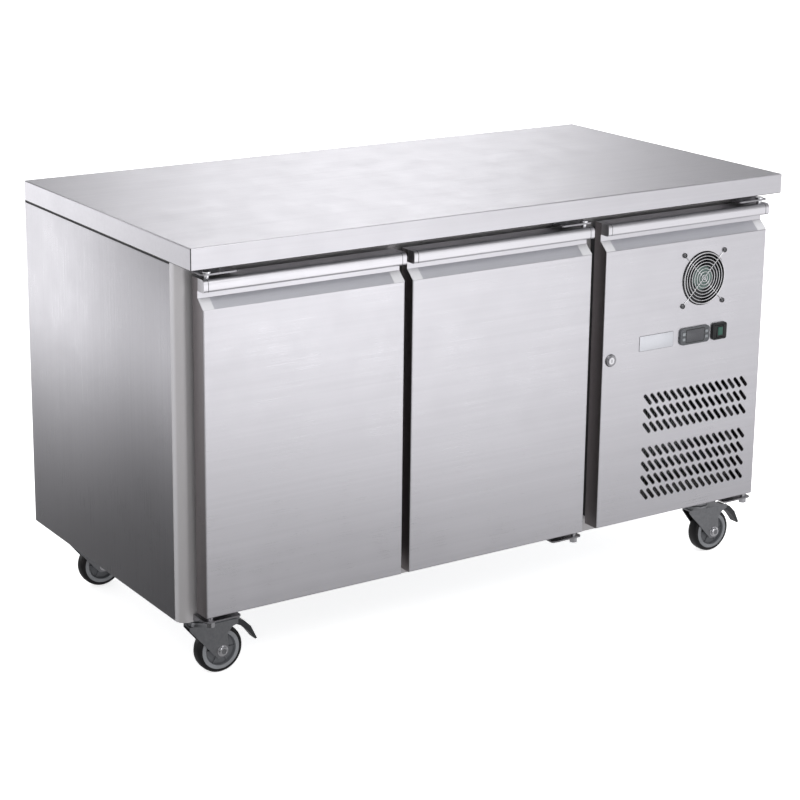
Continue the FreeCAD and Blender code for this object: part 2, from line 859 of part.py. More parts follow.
def make_controller():
    y0 = door_face - controller_proud
    bezel = centred_y(controller_x, panel_z, controller_width, controller_height, y0, door_face,
                      controller_corner_r)
    half_w = controller_width / 2 - controller_lap
    half_h = controller_height / 2 - controller_lap
    case = box(controller_x - half_w, controller_x + half_w, door_face, door_face + controller_case,
               panel_z - half_h, panel_z + half_h)
    window_back = y0 + window_sink + window_sheet
    body = joined([bezel, case])
    body = body.cut(centred_y(controller_x, panel_z, window_width, window_height, y0 - 1,
                              window_back, window_corner_r))
    key_front = y0 - key_proud
    key_back = y0 + key_well - key_travel - key_stop
    for name, x, z in key_places():
        hole = centred_y(x, z, key_width + 2 * key_clear, key_height + 2 * key_clear, y0 - 1,
                         y0 + key_well, key_corner_r + key_clear)
        body = body.cut(hole)
        export(name, centred_y(x, z, key_width, key_height, key_front, key_back, key_corner_r))
    window = centred_y(controller_x, panel_z, window_width, window_height, y0 + window_sink,
                       window_back, window_corner_r)
    export("controller_body", body, window)


def make_switch():
    y0 = door_face - switch_proud
    collar = centred_y(switch_x, panel_z, switch_width, switch_height, y0, door_face, switch_corner_r)
    half_w = switch_width / 2 - switch_lap
    half_h = switch_height / 2 - switch_lap
    case = box(switch_x - half_w, switch_x + half_w, door_face, door_face + switch_case,
               panel_z - half_h, panel_z + half_h)
    pocket_w = rocker_width / 2 + rocker_clear
    pocket_h = rocker_height / 2 + rocker_clear
    pocket = box(switch_x - pocket_w, switch_x + pocket_w, y0 - 1, door_face + switch_pocket,
                 panel_z - pocket_h, panel_z + pocket_h)
    axle = cyl_x(switch_x - pocket_w - 1, switch_x + pocket_w + 1, rocker_y, panel_z,
                 rocker_axle_r)
    housing = joined([collar, case]).cut(pocket)
    export("switch_housing", joined([housing, axle]))
    w = rocker_width / 2
    h = rocker_height / 2
    dip = math.tan(math.radians(rocker_throw)) * h
    raised = y0 - 1
    heel_y = rocker_y + rocker_axle_r + 2
    rocker = prism_x([
        (raised, panel_z - h + 1), (raised + dip * 0.6, panel_z),
        (raised + dip * 1.2, panel_z + h - 1),
        (heel_y, panel_z + 5), (heel_y, panel_z - 5),
    ], switch_x - w, switch_x + w)
    bore = cyl_x(switch_x - w - 1, switch_x + w + 1, rocker_y, panel_z, rocker_axle_r + axle_clear)
    export("switch_rocker", rocker.cut(bore))


def make_lock():
    y0 = door_face - lock_proud
    body_back = door_face + lock_body_length
    flange = cyl_y(lock_x, y0 + 1.5, door_face, lock_z, lock_flange_r)
    body = cyl_y(lock_x, y0, body_back, lock_z, lock_r - lock_fit)
    nut = cyl_y(lock_x, door_face + door_sheet + 0.1, door_face + 6, lock_z, lock_nut_r)
    bore = cyl_y(lock_x, y0 - 1, body_back + 1, lock_z, barrel_r + barrel_clear)
    export("lock_body", joined([flange, body, nut]).cut(bore))
    barrel_back = body_back + 0.3
    barrel = cyl_y(lock_x, y0 + 0.5, barrel_back, lock_z, barrel_r)
    tail = cyl_y(lock_x, barrel_back, cam_plane + cam_sheet, lock_z, lock_tail_r)
    half = cam_width / 2
    cam = box(lock_x - half, lock_x + half, cam_plane, cam_plane + cam_sheet,
              lock_z - cam_reach, lock_z + half)
    keyhole = box(lock_x - keyhole_width / 2, lock_x + keyhole_width / 2, y0, y0 + 6,
                  lock_z - keyhole_height / 2, lock_z + keyhole_height / 2)
    export("lock_barrel", joined([barrel, tail, cam]).cut(keyhole))


def make_name_plate():
    export("name_plate", centred_y(plate_x, panel_z, plate_width, plate_height,
                                   door_face - plate_sheet, door_face, plate_corner_r))


# ---- hinges ----------------------------------------------------------------
def bracket_plate(x0, x1, z):
    """Flat arm of a hinge bracket with its two front corners rounded."""
    y0 = pivot_y - bracket_nose
    plate = box(x0, x1, y0, frame_front, z, z + bracket_sheet)
    for x in (x0, x1):
        plate = rounded(plate, bracket_corner_r, lambda p: near(p.y, y0) and near(p.x, x))
    return plate


def make_hinges():
    brackets = []
    pins = []
    t = bracket_sheet
    low_z = door_bottom - low_bracket_drop - t
    top_z = door_top + top_bracket_lift
    for x, side in pivots.values():
        edge = x - side * pivot_inset
        x0, x1 = sorted((edge, edge + side * bracket_length))
        for z, z0, z1 in ((top_z, top_z, cab_top - 0.5), (low_z, cab_bottom + 1, low_z + t)):
            flange = box(x0, x1, frame_front - t, frame_front, z0, z1)
            hole = cyl_z(x, pivot_y, z - 1, z + t + 1, pin_r)
            brackets.append(joined([bracket_plate(x0, x1, z), flange]).cut(hole))
        pins.append(joined([
            cyl_z(x, pivot_y, door_top - pin_reach, top_z + t + 1, pin_r),
            cyl_z(x, pivot_y, top_z + t, top_z + t + pin_collar, pin_collar_r),
        ]))
        pins.append(joined([
            cyl_z(x, pivot_y, low_z - 2, door_bottom + pin_reach, pin_r),
            cyl_z(x, pivot_y, low_z - pin_knob, low_z, pin_knob_r),
        ]))
    export("hinge_brackets", *brackets)
    export("hinge_pins", *pins)


# ---- inside the food compartment -------------------------------------------
shelf_centres = ((bay1[0] + bay1[1]) / 2, (bay2[0] + bay2[1]) / 2)
inside_front = frame_back
shelf_y0 = (inside_front + liner_back - shelf_depth) / 2
shelf_y1 = shelf_y0 + shelf_depth


def shelf_rim_bar(x0, x1, z):
    """Rim rod bent round the four corners of a shelf."""
    r = shelf_rim / 2
    start = V(x0 + r + shelf_corner_r, shelf_y0 + r, z)
    section = Part.Wire(Part.makeCircle(r, start, V(1, 0, 0)))
    outline = box(x0 + r, x1 - r, shelf_y0 + r, shelf_y1 - r, z, z + 1)
    uprights = [e for e in outline.Edges if near(e.BoundBox.ZLength, 1)]
    outline = outline.makeFillet(shelf_corner_r, uprights)
    path = [f for f in outline.Faces if near(f.CenterOfMass.z, z)][0].OuterWire
    return path.makePipeShell([section], True, False)


def make_shelves():
    shelves = []
    for x in shelf_centres:
        x0 = x - shelf_width / 2
        x1 = x + shelf_width / 2
        r = shelf_rim / 2
        z = shelf_z + r
        bars = [shelf_rim_bar(x0, x1, z)]
        bars.append(cyl_x(x0 + r, x1 - r, (shelf_y0 + shelf_y1) / 2, z, shelf_bar / 2))
        for i in range(1, shelf_wires):
            wire_x = x0 + r + (shelf_width - shelf_rim) * i / shelf_wires
            bars.append(cyl_y(wire_x, shelf_y0 + r, shelf_y1 - r, z + 1.5, shelf_wire / 2))
        shelves.append(joined(bars))
    export("wire_shelves", *shelves)


def runner(x_wall, side):
    """Angle that a shelf edge rests on; side points into the bay."""
    t = runner_sheet
    reach = x_wall + side * runner_ledge
    z = shelf_z - seat_gap
    ledge = box(min(x_wall, reach), max(x_wall, reach), shelf_y0, shelf_y1, z - t, z)
    web = box(min(x_wall, x_wall + side * t), max(x_wall, x_wall + side * t),
              shelf_y0, shelf_y1, z - runner_drop, z)
    return joined([ledge, web])


def make_shelf_supports():
    t = pilaster_sheet
    middle_reach = shelf_width / 2 + runner_side_gap
    walls = (
        (bay1[0] + t, 1), (shelf_centres[0] + middle_reach, -1),
        (shelf_centres[1] - middle_reach, 1), (bay2[1] - t, -1),
    )
    solids = []
    for x, side in walls:
        solids.append(runner(x, side))
        back_x = x - side * t
        for y in (shelf_y0 + pilaster_inset, shelf_y1 - pilaster_inset - pilaster_width):
            solids.append(box(min(x, back_x), max(x, back_x), y, y + pilaster_width,
                              bay_low, bay_high))
    export("shelf_supports", *solids)


def make_evaporator():
    """Coil chamber beside the partition, with its cover, motor and fan."""
    x0 = bay2[1]
    y0 = inside_front + evaporator_front_gap
    y1 = liner_back - evaporator_back_gap
    z0 = bay_low + evaporator_low_gap
    z1 = bay_high - evaporator_high_gap
    mouth_y = (y0 + y1) / 2
    mouth_r = evaporator_fan_r + mouth_clear
    cover = box(x0, x0 + skin, y0, y1, z0, z1)
    mouth = cyl_x(x0 - 1, x0 + skin + 1, mouth_y, evaporator_z, mouth_r)
    foot = box(x0 + skin, chamber_right, y0, y1, z0, z0 + skin)
    roof = box(x0 + skin, chamber_right, y0, y1, z1 - skin, z1)
    bars = []
    for step in range(mouth_bars):
        drop = (step - (mouth_bars - 1) / 2) * mouth_bar_pitch
        half = math.sqrt(mouth_r ** 2 - drop ** 2) + 1
        z = evaporator_z + drop
        bars.append(box(x0 + 0.2, x0 + skin - 0.2, mouth_y - half, mouth_y + half, z - 1, z + 1))
    export("evaporator_cover", joined([cover.cut(mouth), foot, roof] + bars))
    make_coil(mouth_y)
    motor_x1 = chamber_right - coil_thick - 2
    rotor_x = motor_x1 - 2 * motor_depth
    motor = cyl_x(motor_x1 - motor_depth, motor_x1, mouth_y, evaporator_z, motor_r)
    shaft = cyl_x(rotor_x + 4, motor_x1 - motor_depth + 1, mouth_y, evaporator_z, fan_shaft_r)
    foot_r = evaporator_fan_r + 20
    arms = []
    for angle in (45, 135, 225, 315):
        arm = box(motor_x1 - 4, motor_x1, -motor_arm / 2, motor_arm / 2, motor_r - 4, foot_r)
        foot_piece = box(x0 + skin, motor_x1, -motor_arm / 2, motor_arm / 2, foot_r - 3, foot_r)
        leg = joined([arm, foot_piece])
        leg.rotate(V(0, 0, 0), V(1, 0, 0), angle)
        leg.translate(V(0, mouth_y, evaporator_z))
        arms.append(leg)
    export("evaporator_motor", joined([motor, shaft] + arms))
    half = evaporator_fan_depth / 2
    rotor = fan_rotor(0, 0, -half, half, motor_r - 4, evaporator_fan_r - tip_clear, evaporator_blades)
    rotor.rotate(V(0, 0, 0), V(0, 0, 1), -90)
    rotor.translate(V(rotor_x, mouth_y, evaporator_z))
    export("evaporator_fan_rotor", rotor)


def make_coil(middle_y):
    """Evaporator coil: flat fins on straight tubes between two end plates."""
    x0 = chamber_right - coil_thick
    x1 = chamber_right - coil_gap
    y0 = middle_y - coil_depth / 2
    y1 = middle_y + coil_depth / 2
    z0 = evaporator_z - coil_height / 2
    z1 = evaporator_z + coil_height / 2
    pieces = []
    for i in range(coil_fins):
        y = y0 + (coil_depth - fin_sheet) * i / (coil_fins - 1)
        pieces.append(box(x0, x1, y, y + fin_sheet, z0, z1))
    for row in range(coil_rows):
        z = z0 + coil_edge + row * (coil_height - 2 * coil_edge) / (coil_rows - 1)
        pieces.append(cyl_y((x0 + x1) / 2, y0 - 10, y1 + 10, z, coil_tube_r))
    pieces.append(box(x0, chamber_right, y0 - end_plate, y0, z0, z1))
    pieces.append(box(x0, chamber_right, y1, y1 + end_plate, z0, z1))
    export("evaporator_coil", joined(pieces))


# ---- machine bay -----------------------------------------------------------
machine_x = (partition_right + right - skin) / 2
tray_z = cab_bottom + base_sheet
condenser_y0 = frame_back + condenser_front_gap
condenser_z0 = tray_z + tray_sheet + condenser_lift
condenser_fan_z = condenser_z0 + condenser_height / 2
condenser_fan_y = condenser_y0 + condenser_thick + condenser_fan_gap
shell_z0 = tray_z + tray_sheet + compressor_pad + compressor_foot
compressor_y = back - compressor_back_gap
compressor_x = machine_x - compressor_left_shift


def make_tray():
    x0 = partition_right + tray_gap
    x1 = right - skin - tray_gap
    y0 = frame_back + tray_gap + 4
    y1 = back - 30
    floor = box(x0, x1, y0, y1, tray_z, tray_z + tray_sheet)
    sides = [box(x0, x0 + tray_sheet, y0, y1, tray_z, tray_z + tray_rim),
             box(x1 - tray_sheet, x1, y0, y1, tray_z, tray_z + tray_rim)]
    export("unit_tray", joined([floor] + sides))


def make_condenser():
    x0 = machine_x - condenser_width / 2
    x1 = machine_x + condenser_width / 2
    y0 = condenser_y0
    y1 = y0 + condenser_thick
    z0 = condenser_z0
    z1 = z0 + condenser_height
    pieces = [box(x0, x0 + end_plate, y0, y1, tray_z + tray_sheet, z1),
              box(x1 - end_plate, x1, y0, y1, tray_z + tray_sheet, z1)]
    for i in range(1, condenser_fins):
        x = x0 + end_plate + (condenser_width - 2 * end_plate - fin_sheet) * i / condenser_fins
        pieces.append(box(x, x + fin_sheet, y0 + 3, y1 - 3, z0, z1 - 2))
    for row in range(condenser_rows):
        z = z0 + condenser_edge + row * (condenser_height - 2 * condenser_edge) / (condenser_rows - 1)
        for y in (y0 + condenser_tube_inset, y1 - condenser_tube_inset):
            pieces.append(cyl_x(x0 - tube_end, x1 + tube_end, y, z, condenser_tube_r))
    export("condenser", joined(pieces))


def make_condenser_fan():
    """Shroud, motor and fan behind the condenser."""
    x0 = machine_x - condenser_width / 2
    x1 = machine_x + condenser_width / 2
    y0 = condenser_y0 + condenser_thick + 0.5
    y1 = y0 + skin
    z1 = condenser_z0 + condenser_height
    mouth_r = condenser_fan_r + shroud_clear
    plate = box(x0, x1, y0, y1, tray_z + tray_sheet, z1)
    plate = plate.cut(cyl_y(machine_x, y0 - 1, y1 + 1, condenser_fan_z, mouth_r))
    collar = cyl_y(machine_x, y0, y0 + shroud_collar, condenser_fan_z, mouth_r + skin)
    collar = collar.cut(cyl_y(machine_x, y0 - 1, y0 + shroud_collar + 1, condenser_fan_z, mouth_r))
    motor_y = condenser_fan_y + 12
    motor = cyl_y(machine_x, motor_y, motor_y + 48, condenser_fan_z, condenser_motor_r)
    shaft = cyl_y(machine_x, condenser_fan_y - 5, motor_y + 1, condenser_fan_z, fan_shaft_r)
    arm_y = motor_y + 2
    angles = (30, 150, 270)
    legs = fan_arms(condenser_motor_r - 10, mouth_r + skin, arm_y, arm_y + 4, 12, angles)
    legs += fan_arms(mouth_r + 0.2, mouth_r + 4, y0 + 0.5, arm_y + 4, 12, angles)
    for leg in legs:
        leg.translate(V(machine_x, 0, condenser_fan_z))
    export("condenser_shroud", joined([plate, collar, motor, shaft] + legs))
    export("condenser_fan_rotor", fan_rotor(machine_x, condenser_fan_z, condenser_fan_y - 11,
                                            condenser_fan_y + 10, 24, condenser_fan_r - tip_clear,
                                            evaporator_blades))


def make_compressor():
    z0 = tray_z + tray_sheet
    shell = cyl_z(compressor_x, compressor_y, shell_z0, shell_z0 + compressor_height, compressor_r)
    shell = shell.makeFillet(compressor_dome_r, [e for e in shell.Edges if len(e.Vertexes) == 1])
    seam_z = shell_z0 + compressor_seam_z
    seam = cyl_z(compressor_x, compressor_y, seam_z, seam_z + 6, compressor_r + 4)
    foot = box(compressor_x - 95, compressor_x + 95, compressor_y - 60, compressor_y + 60,
               shell_z0 - compressor_foot, shell_z0)
    stub = cyl_x(compressor_x + compressor_r - 5, compressor_x + compressor_r + stub_length,
                 compressor_y, shell_z0 + stub_z, 5)
    front_y = compressor_y - compressor_r
    terminal = box(compressor_x - 30, compressor_x + 30, front_y - 24, front_y + 8,
                   shell_z0 + 45, shell_z0 + 100)
    pads = []
    for sx in (-80, 80):
        for sy in (-45, 45):
            pads.append(cyl_z(compressor_x + sx, compressor_y + sy, z0, z0 + compressor_pad,
                              compressor_pad_r))
    export("compressor", joined([shell, seam, foot, stub, terminal]), *pads)


def make_pipes():
    """Discharge, liquid and suction lines between compressor, condenser and partition."""
    stub_x = compressor_x + compressor_r + stub_length
    z_stub = shell_z0 + stub_z
    end_x = machine_x + condenser_width / 2 + tube_end
    out_x = end_x + pipe_offset
    cond_y = condenser_y0 + condenser_thick - condenser_tube_inset
    high_z = condenser_z0 + condenser_height - condenser_edge
    discharge = tube([
        (stub_x, compressor_y, z_stub), (out_x, compressor_y, z_stub),
        (out_x, compressor_y, high_z), (out_x, cond_y, high_z), (end_x, cond_y, high_z),
    ], tube_r, tube_bend)
    low_x = machine_x - condenser_width / 2 - tube_end
    side_x = low_x - pipe_offset
    low_z = condenser_z0 + condenser_edge
    drier_z = low_z + 60
    drier_y = compressor_y - 110
    liquid = tube([
        (low_x, cond_y, low_z), (side_x, cond_y, low_z), (side_x, drier_y - 30, low_z),
        (side_x, drier_y - 30, drier_z), (side_x, drier_y, drier_z),
    ], tube_r, tube_bend)
    drier = cyl_y(side_x, drier_y, drier_y + drier_length, drier_z, drier_r)
    lag_x = partition_right + lagging_length
    lag_z = shell_z0 + compressor_height + 60
    suction_y = compressor_y + 20
    suction = tube([
        (compressor_x, suction_y, shell_z0 + compressor_height),
        (compressor_x, suction_y, lag_z), (lag_x, suction_y, lag_z),
    ], tube_r + 1.5, suction_bend)
    lagging = cyl_x(partition_right, lag_x, suction_y, lag_z, lagging_r)
    export("refrigerant_pipes", discharge, liquid, drier, suction, lagging)


def make_electrics():
    x1 = right - skin
    y0 = back - electrical_depth - 160
    z0 = cab_top - electrical_height - 160
    export("electrical_box", rounded_box_y(x1 - electrical_width, x1, y0, y0 + electrical_depth,
                                           z0, z0 + electrical_height, electrical_corner_r))
    r = gland_hole_r - gland_fit
    body = cyl_y(gland_x, back - gland_length, back, gland_z, r)
    flange = cyl_y(gland_x, back - skin - gland_flange, back - skin, gland_z, gland_flange_r)
    bore = cyl_y(gland_x, back - gland_length - 1, back + 1, gland_z, gland_bore_r)
    export("cable_gland", joined([body, flange]).cut(bore))


# ---- castors ---------------------------------------------------------------
castors = {
    "front_left": (left + castor_inset_x, frame_front + castor_inset_y, True),
    "front_right": (right - castor_inset_x, frame_front + castor_inset_y, True),
    "rear_left": (left + castor_inset_x, back - castor_inset_y, False),
    "rear_right": (right - castor_inset_x, back - castor_inset_y, False),
}


def fork_leg(side):
    """One leg: flat facet beside the wheel and a leading facet that leans inward."""
    y0 = min(side * leg_in, side * leg_out)
    y1 = max(side * leg_in, side * leg_out)
    low = wheel_r - fork_foot
    heel = castor_trail - fork_foot_half
    toe = castor_trail + fork_foot_half - 3
    waist = castor_trail + fork_waist
    flare_z = crown_top - fork_side_drop
    flat = prism_y([
        (fork_bend_x, crown_top), (fork_bend_x, wheel_r - 5), (heel, low),
        (toe, low), (waist + 2, wheel_r - 4),
        (waist, flare_z - 18), (2 * waist - castor_trail, flare_z - 6),
        (fork_right_x, flare_z - 2), (fork_right_x, crown_top),
    ], y0, y1)
    lead = prism_y([
        (fork_bend_x, crown_top), (fork_left_x, crown_top), (fork_left_x, flare_z),
        (fork_bend_x, wheel_r - 5),
    ], y0, y1)
    shear = FreeCAD.Matrix()
    shear.A21 = side * fork_lean
    shear.A24 = -side * fork_lean * fork_bend_x
    return flat, lead.transformGeometry(shear)


def make_fork(name, x, y, braked):
    flat_a, lead_a = fork_leg(-1)
    flat_b, lead_b = fork_leg(1)
    narrow = leg_out - fork_lean * (fork_bend_x - fork_left_x)
    crown_end = pedal_x - pedal_end_gap
    crown = prism_z([
        (fork_left_x, -narrow), (fork_bend_x, -leg_out), (crown_end, -leg_out),
        (crown_end, leg_out), (fork_bend_x, leg_out), (fork_left_x, narrow),
    ], crown_low, crown_top)
    cup = cyl_z(0, 0, crown_top, crown_top + race_height, race_r + 2)
    bore = cyl_z(0, 0, crown_low - 1, crown_top + race_height + 1, kingpin_r + kingpin_clear)
    holes = cyl_y(castor_trail, -leg_out - 1, leg_out + 1, wheel_r, axle_r)
    fork = joined([crown, flat_a, lead_a, flat_b, lead_b, cup]).cut(bore).cut(holes)
    axle = cyl_y(castor_trail, -leg_out - axle_end, leg_out + axle_end, wheel_r, axle_r)
    head = hexagon_y(castor_trail, -leg_out - axle_head, -leg_out, wheel_r, axle_head_r)
    nut = hexagon_y(castor_trail, leg_out, leg_out + axle_head, wheel_r, axle_head_r)
    solids = [fork, joined([axle, head, nut])]
    if braked:
        solids.append(cyl_y(pedal_x, -leg_in, leg_in, pedal_z, pedal_pin_r))
    for solid in solids:
        solid.translate(V(x, y, 0))
    export("castor_fork_" + name, *solids)


def hexagon(u, v, r):
    """Corners of a hexagon about a centre."""
    angles = [math.radians(60 * i) for i in range(6)]
    return [(u + r * math.cos(a), v + r * math.sin(a)) for a in angles]


def hexagon_y(x, y0, y1, z, r):
    return prism_y(hexagon(x, z, r), y0, y1)


def make_wheel(name, x, y):
    """Moulded hub with a raised rim ring, and a rubber tyre round it."""
    hub_r = wheel_r - tyre_wall
    half = tyre_width / 2
    web = hub_half - hub_web_sink
    boss = hub_boss_r
    rim = hub_r - hub_rim
    hub = revolve_y([
        (axle_r + axle_clear, -hub_half), (boss, -hub_half), (boss + hub_step, -web),
        (rim - hub_step, -web), (rim, -half), (hub_r, -half), (hub_r, half), (rim, half),
        (rim - hub_step, web), (boss + hub_step, web), (boss, hub_half),
        (axle_r + axle_clear, hub_half),
    ])
    edge = half - tread_inset
    flat = half - tread_flat_inset
    tyre = revolve_y([
        (hub_r, -half), (wheel_r - tyre_shoulder, -half), (wheel_r - tread_r, -edge),
        (wheel_r, -flat), (wheel_r, flat), (wheel_r - tread_r, edge),
        (wheel_r - tyre_shoulder, half), (hub_r, half),
    ])
    for solid in (hub, tyre):
        solid.translate(V(x + castor_trail, y, wheel_r))
    export("castor_wheel_" + name, hub, tyre)


def revolve_y(section):
    """Revolve (radius, along-Y) points about the Y axis."""
    face = face_of([(r, y, 0) for r, y in section])
    return face.revolve(V(0, 0, 0), V(0, 1, 0), 360)


def make_pedal(name, x, y):
    """Brake pedal, pivoted between the fork legs over the tyre."""
    half = pedal_width / 2
    tip_z = crown_low - pedal_drop
    side = [
        (pedal_x - 6, pedal_z - 5), (pedal_x + 4, pedal_z - 6.5), (pedal_x + 18, pedal_z - 13),
        (pedal_x + 33, pedal_z - 28), (pedal_reach - 4, tip_z), (pedal_reach, tip_z + 1.5),
        (pedal_x + 38, pedal_z - 18), (pedal_x + 24, pedal_z - 4), (pedal_x + 9, pedal_z + 3.5),
        (pedal_x - 6, pedal_z + 3.5),
    ]
    pedal = prism_y(side, -half, half)
    pedal = pedal.cut(cyl_y(pedal_x, -half - 1, half + 1, pedal_z, pedal_pin_r + axle_clear))
    pedal.translate(V(x, y, 0))
    export("brake_pedal_" + name, pedal)


def make_castors():
    mounts = []
    bolts = []
    for name, (x, y, braked) in castors.items():
        make_fork(name, x, y, braked)
        make_wheel(name, x, y)
        if braked:
            make_pedal(name, x, y)
        plate_z = cab_bottom - castor_plate
        race_z = crown_top + race_height + race_gap
        half_x = castor_plate_length / 2
        half_y = castor_plate_width / 2
        flange_z = crown_low - race_gap - kingpin_flange
        plate = box(x - half_x, x + half_x, y - half_y, y + half_y, plate_z, cab_bottom)
        stack = [
            cyl_z(x, y, race_z, race_z + race_depth, race_r),
            cyl_z(x, y, race_z + race_depth - 1, plate_z + 1, race_neck_r),
            cyl_z(x, y, flange_z, plate_z, kingpin_r),
            cyl_z(x, y, flange_z, crown_low - race_gap, kingpin_flange_r),
        ]
        mounts.append(joined([plate] + stack))
        for bolt_x in (x - castor_bolt_x, x + castor_bolt_x):
            for bolt_y in (y - castor_bolt_y, y + castor_bolt_y):
                points = hexagon(bolt_x, bolt_y, castor_bolt_r)
                bolts.append(prism_z(points, plate_z - castor_bolt_head, plate_z))
    export("castor_mounts", *mounts)
    return bolts


def make_fasteners(bolts):
    """Castor plate bolts and the screws that hold the hinge brackets."""
    solids = list(bolts)
    for x, side in pivots.values():
        edge = x - side * pivot_inset
        for along in bracket_screws:
            sx = edge + side * along
            z_top = (door_top + top_bracket_lift + bracket_sheet + cab_top) / 2
            z_low = (cab_bottom + door_bottom - low_bracket_drop - bracket_sheet) / 2
            for z, r in ((z_top, 3.5), (z_low, 4.0)):
                y1 = frame_front - bracket_sheet
                solids.append(cyl_y(sx, y1 - 2.5, y1, z, r))
    export("bracket_bolts", *solids)


core = make_worktop()
make_side_panels()
make_back_panel()
make_base_panel()
make_foam(make_front_frame() + [core])
make_liner()
make_partition_panel()
make_food_door("left", door1)
make_food_door("right", door2)
make_machine_door()
make_vent_fan()
make_vent_guard()
make_controller()
make_switch()
make_lock()
make_name_plate()
make_hinges()
make_shelves()
make_shelf_supports()
make_evaporator()
make_tray()
make_condenser()
make_condenser_fan()
make_compressor()
make_pipes()
make_electrics()
make_fasteners(make_castors())
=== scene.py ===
import json
import math

import bmesh
import bpy
from mathutils import Matrix, Vector


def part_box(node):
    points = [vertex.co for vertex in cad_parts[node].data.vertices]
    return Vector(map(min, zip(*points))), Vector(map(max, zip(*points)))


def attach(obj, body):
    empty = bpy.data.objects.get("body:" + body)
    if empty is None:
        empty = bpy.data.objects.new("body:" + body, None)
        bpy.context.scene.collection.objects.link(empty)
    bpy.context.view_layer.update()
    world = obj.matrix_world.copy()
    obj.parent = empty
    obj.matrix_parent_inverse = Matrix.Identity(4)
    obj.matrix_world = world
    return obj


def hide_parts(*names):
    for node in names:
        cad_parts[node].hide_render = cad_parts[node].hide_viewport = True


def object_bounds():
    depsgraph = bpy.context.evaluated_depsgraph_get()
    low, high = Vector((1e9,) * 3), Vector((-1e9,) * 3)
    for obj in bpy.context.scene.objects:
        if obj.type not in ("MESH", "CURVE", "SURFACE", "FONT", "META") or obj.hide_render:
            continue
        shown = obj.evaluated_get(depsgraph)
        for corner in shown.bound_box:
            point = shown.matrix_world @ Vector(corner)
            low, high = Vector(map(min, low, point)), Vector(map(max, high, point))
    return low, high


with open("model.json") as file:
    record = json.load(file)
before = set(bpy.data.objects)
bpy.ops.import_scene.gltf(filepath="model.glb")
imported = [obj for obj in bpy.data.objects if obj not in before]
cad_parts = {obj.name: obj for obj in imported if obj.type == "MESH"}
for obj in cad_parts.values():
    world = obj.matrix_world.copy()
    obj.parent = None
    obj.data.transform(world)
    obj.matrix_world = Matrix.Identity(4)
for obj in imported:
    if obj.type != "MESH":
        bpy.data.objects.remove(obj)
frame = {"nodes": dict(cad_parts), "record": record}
cad_low, cad_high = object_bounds()
nodes = frame["nodes"]
CORNERS = ("front_left", "front_right", "rear_left", "rear_right")


# ---- node helpers ----------------------------------------------------------
# sockets of the Mix node, whose inputs share one name for numbers and colours
MIX_NUMBER_A, MIX_NUMBER_B, MIX_NUMBER_RESULT = 2, 3, 0
MIX_COLOUR_A, MIX_COLOUR_B, MIX_COLOUR_RESULT = 6, 7, 2


def add_node(tree, kind, values=None, links=None, **settings):
    """A shader node with its settings, constant inputs and linked inputs."""
    node = tree.nodes.new("ShaderNode" + kind)
    for key, value in settings.items():
        setattr(node, key, value)
    for key, value in (values or {}).items():
        node.inputs[key].default_value = value
    for key, source in (links or {}).items():
        tree.links.new(source, node.inputs[key])
    return node


def object_space(tree, scale):
    """Object coordinates in metres, multiplied per axis."""
    source = add_node(tree, "TexCoord")
    mapping = add_node(tree, "Mapping", {"Scale": scale}, {"Vector": source.outputs["Object"]})
    return mapping.outputs["Vector"]


def noise(tree, vector, detail=2.0, roughness=0.5):
    """Noise factor at a point; its scale is set by the coordinates alone."""
    node = add_node(tree, "TexNoise", {"Scale": 1.0, "Detail": detail, "Roughness": roughness},
                    {"Vector": vector})
    return node.outputs["Fac"]


def spread(tree, value, low, high, start=0.3, end=0.7):
    """Maps a value between start and end to the range low..high."""
    node = add_node(tree, "MapRange", {"From Min": start, "From Max": end, "To Min": low, "To Max": high},
                    {"Value": value})
    return node.outputs["Result"]


def mixed(tree, factor, first, second):
    """Colour between two colours or colour outputs."""
    node = add_node(tree, "Mix", data_type="RGBA")
    tree.links.new(factor, node.inputs["Factor"])
    for index, value in ((MIX_COLOUR_A, first), (MIX_COLOUR_B, second)):
        if isinstance(value, tuple):
            node.inputs[index].default_value = (*value, 1.0)
        else:
            tree.links.new(value, node.inputs[index])
    return node.outputs[MIX_COLOUR_RESULT]


def bump(tree, height, strength, distance, normal=None):
    """Normal bent by a height, on top of another bump if one is given."""
    links = {"Height": height}
    if normal is not None:
        links["Normal"] = normal
    node = add_node(tree, "Bump", {"Strength": strength, "Distance": distance}, links)
    return node.outputs["Normal"]


def shade(colour, factor):
    """A colour made lighter or darker, kept at 1 or below."""
    return tuple(min(1.0, c * factor) for c in colour)


def blank(name):
    """A new material with its node tree and its shader."""
    material = bpy.data.materials.new(name)
    material.use_nodes = True
    return material, material.node_tree, material.node_tree.nodes["Principled BSDF"]


def maths(tree, operation, first, second=None, third=None):
    """One Math node on numbers or outputs."""
    node = add_node(tree, "Math", operation=operation)
    for index, value in enumerate((first, second, third)):
        if value is None:
            continue
        if isinstance(value, (int, float)):
            node.inputs[index].default_value = value
        else:
            tree.links.new(value, node.inputs[index])
    return node.outputs["Value"]


def smooth_range(tree, value, start, end, low, high):
    """Maps a value between start and end to low..high with soft ends."""
    node = add_node(tree, "MapRange", {"From Min": start, "From Max": end, "To Min": low, "To Max": high},
                    {"Value": value}, interpolation_type="SMOOTHSTEP")
    return node.outputs["Result"]


def across_grain(tree, direction):
    """Tangent in the object's own axes, turned with the object."""
    vector = add_node(tree, "CombineXYZ", dict(zip("XYZ", direction)))
    turned = add_node(tree, "VectorTransform", None, {"Vector": vector.outputs["Vector"]},
                      vector_type="VECTOR", convert_from="OBJECT", convert_to="WORLD")
    return turned.outputs["Vector"]


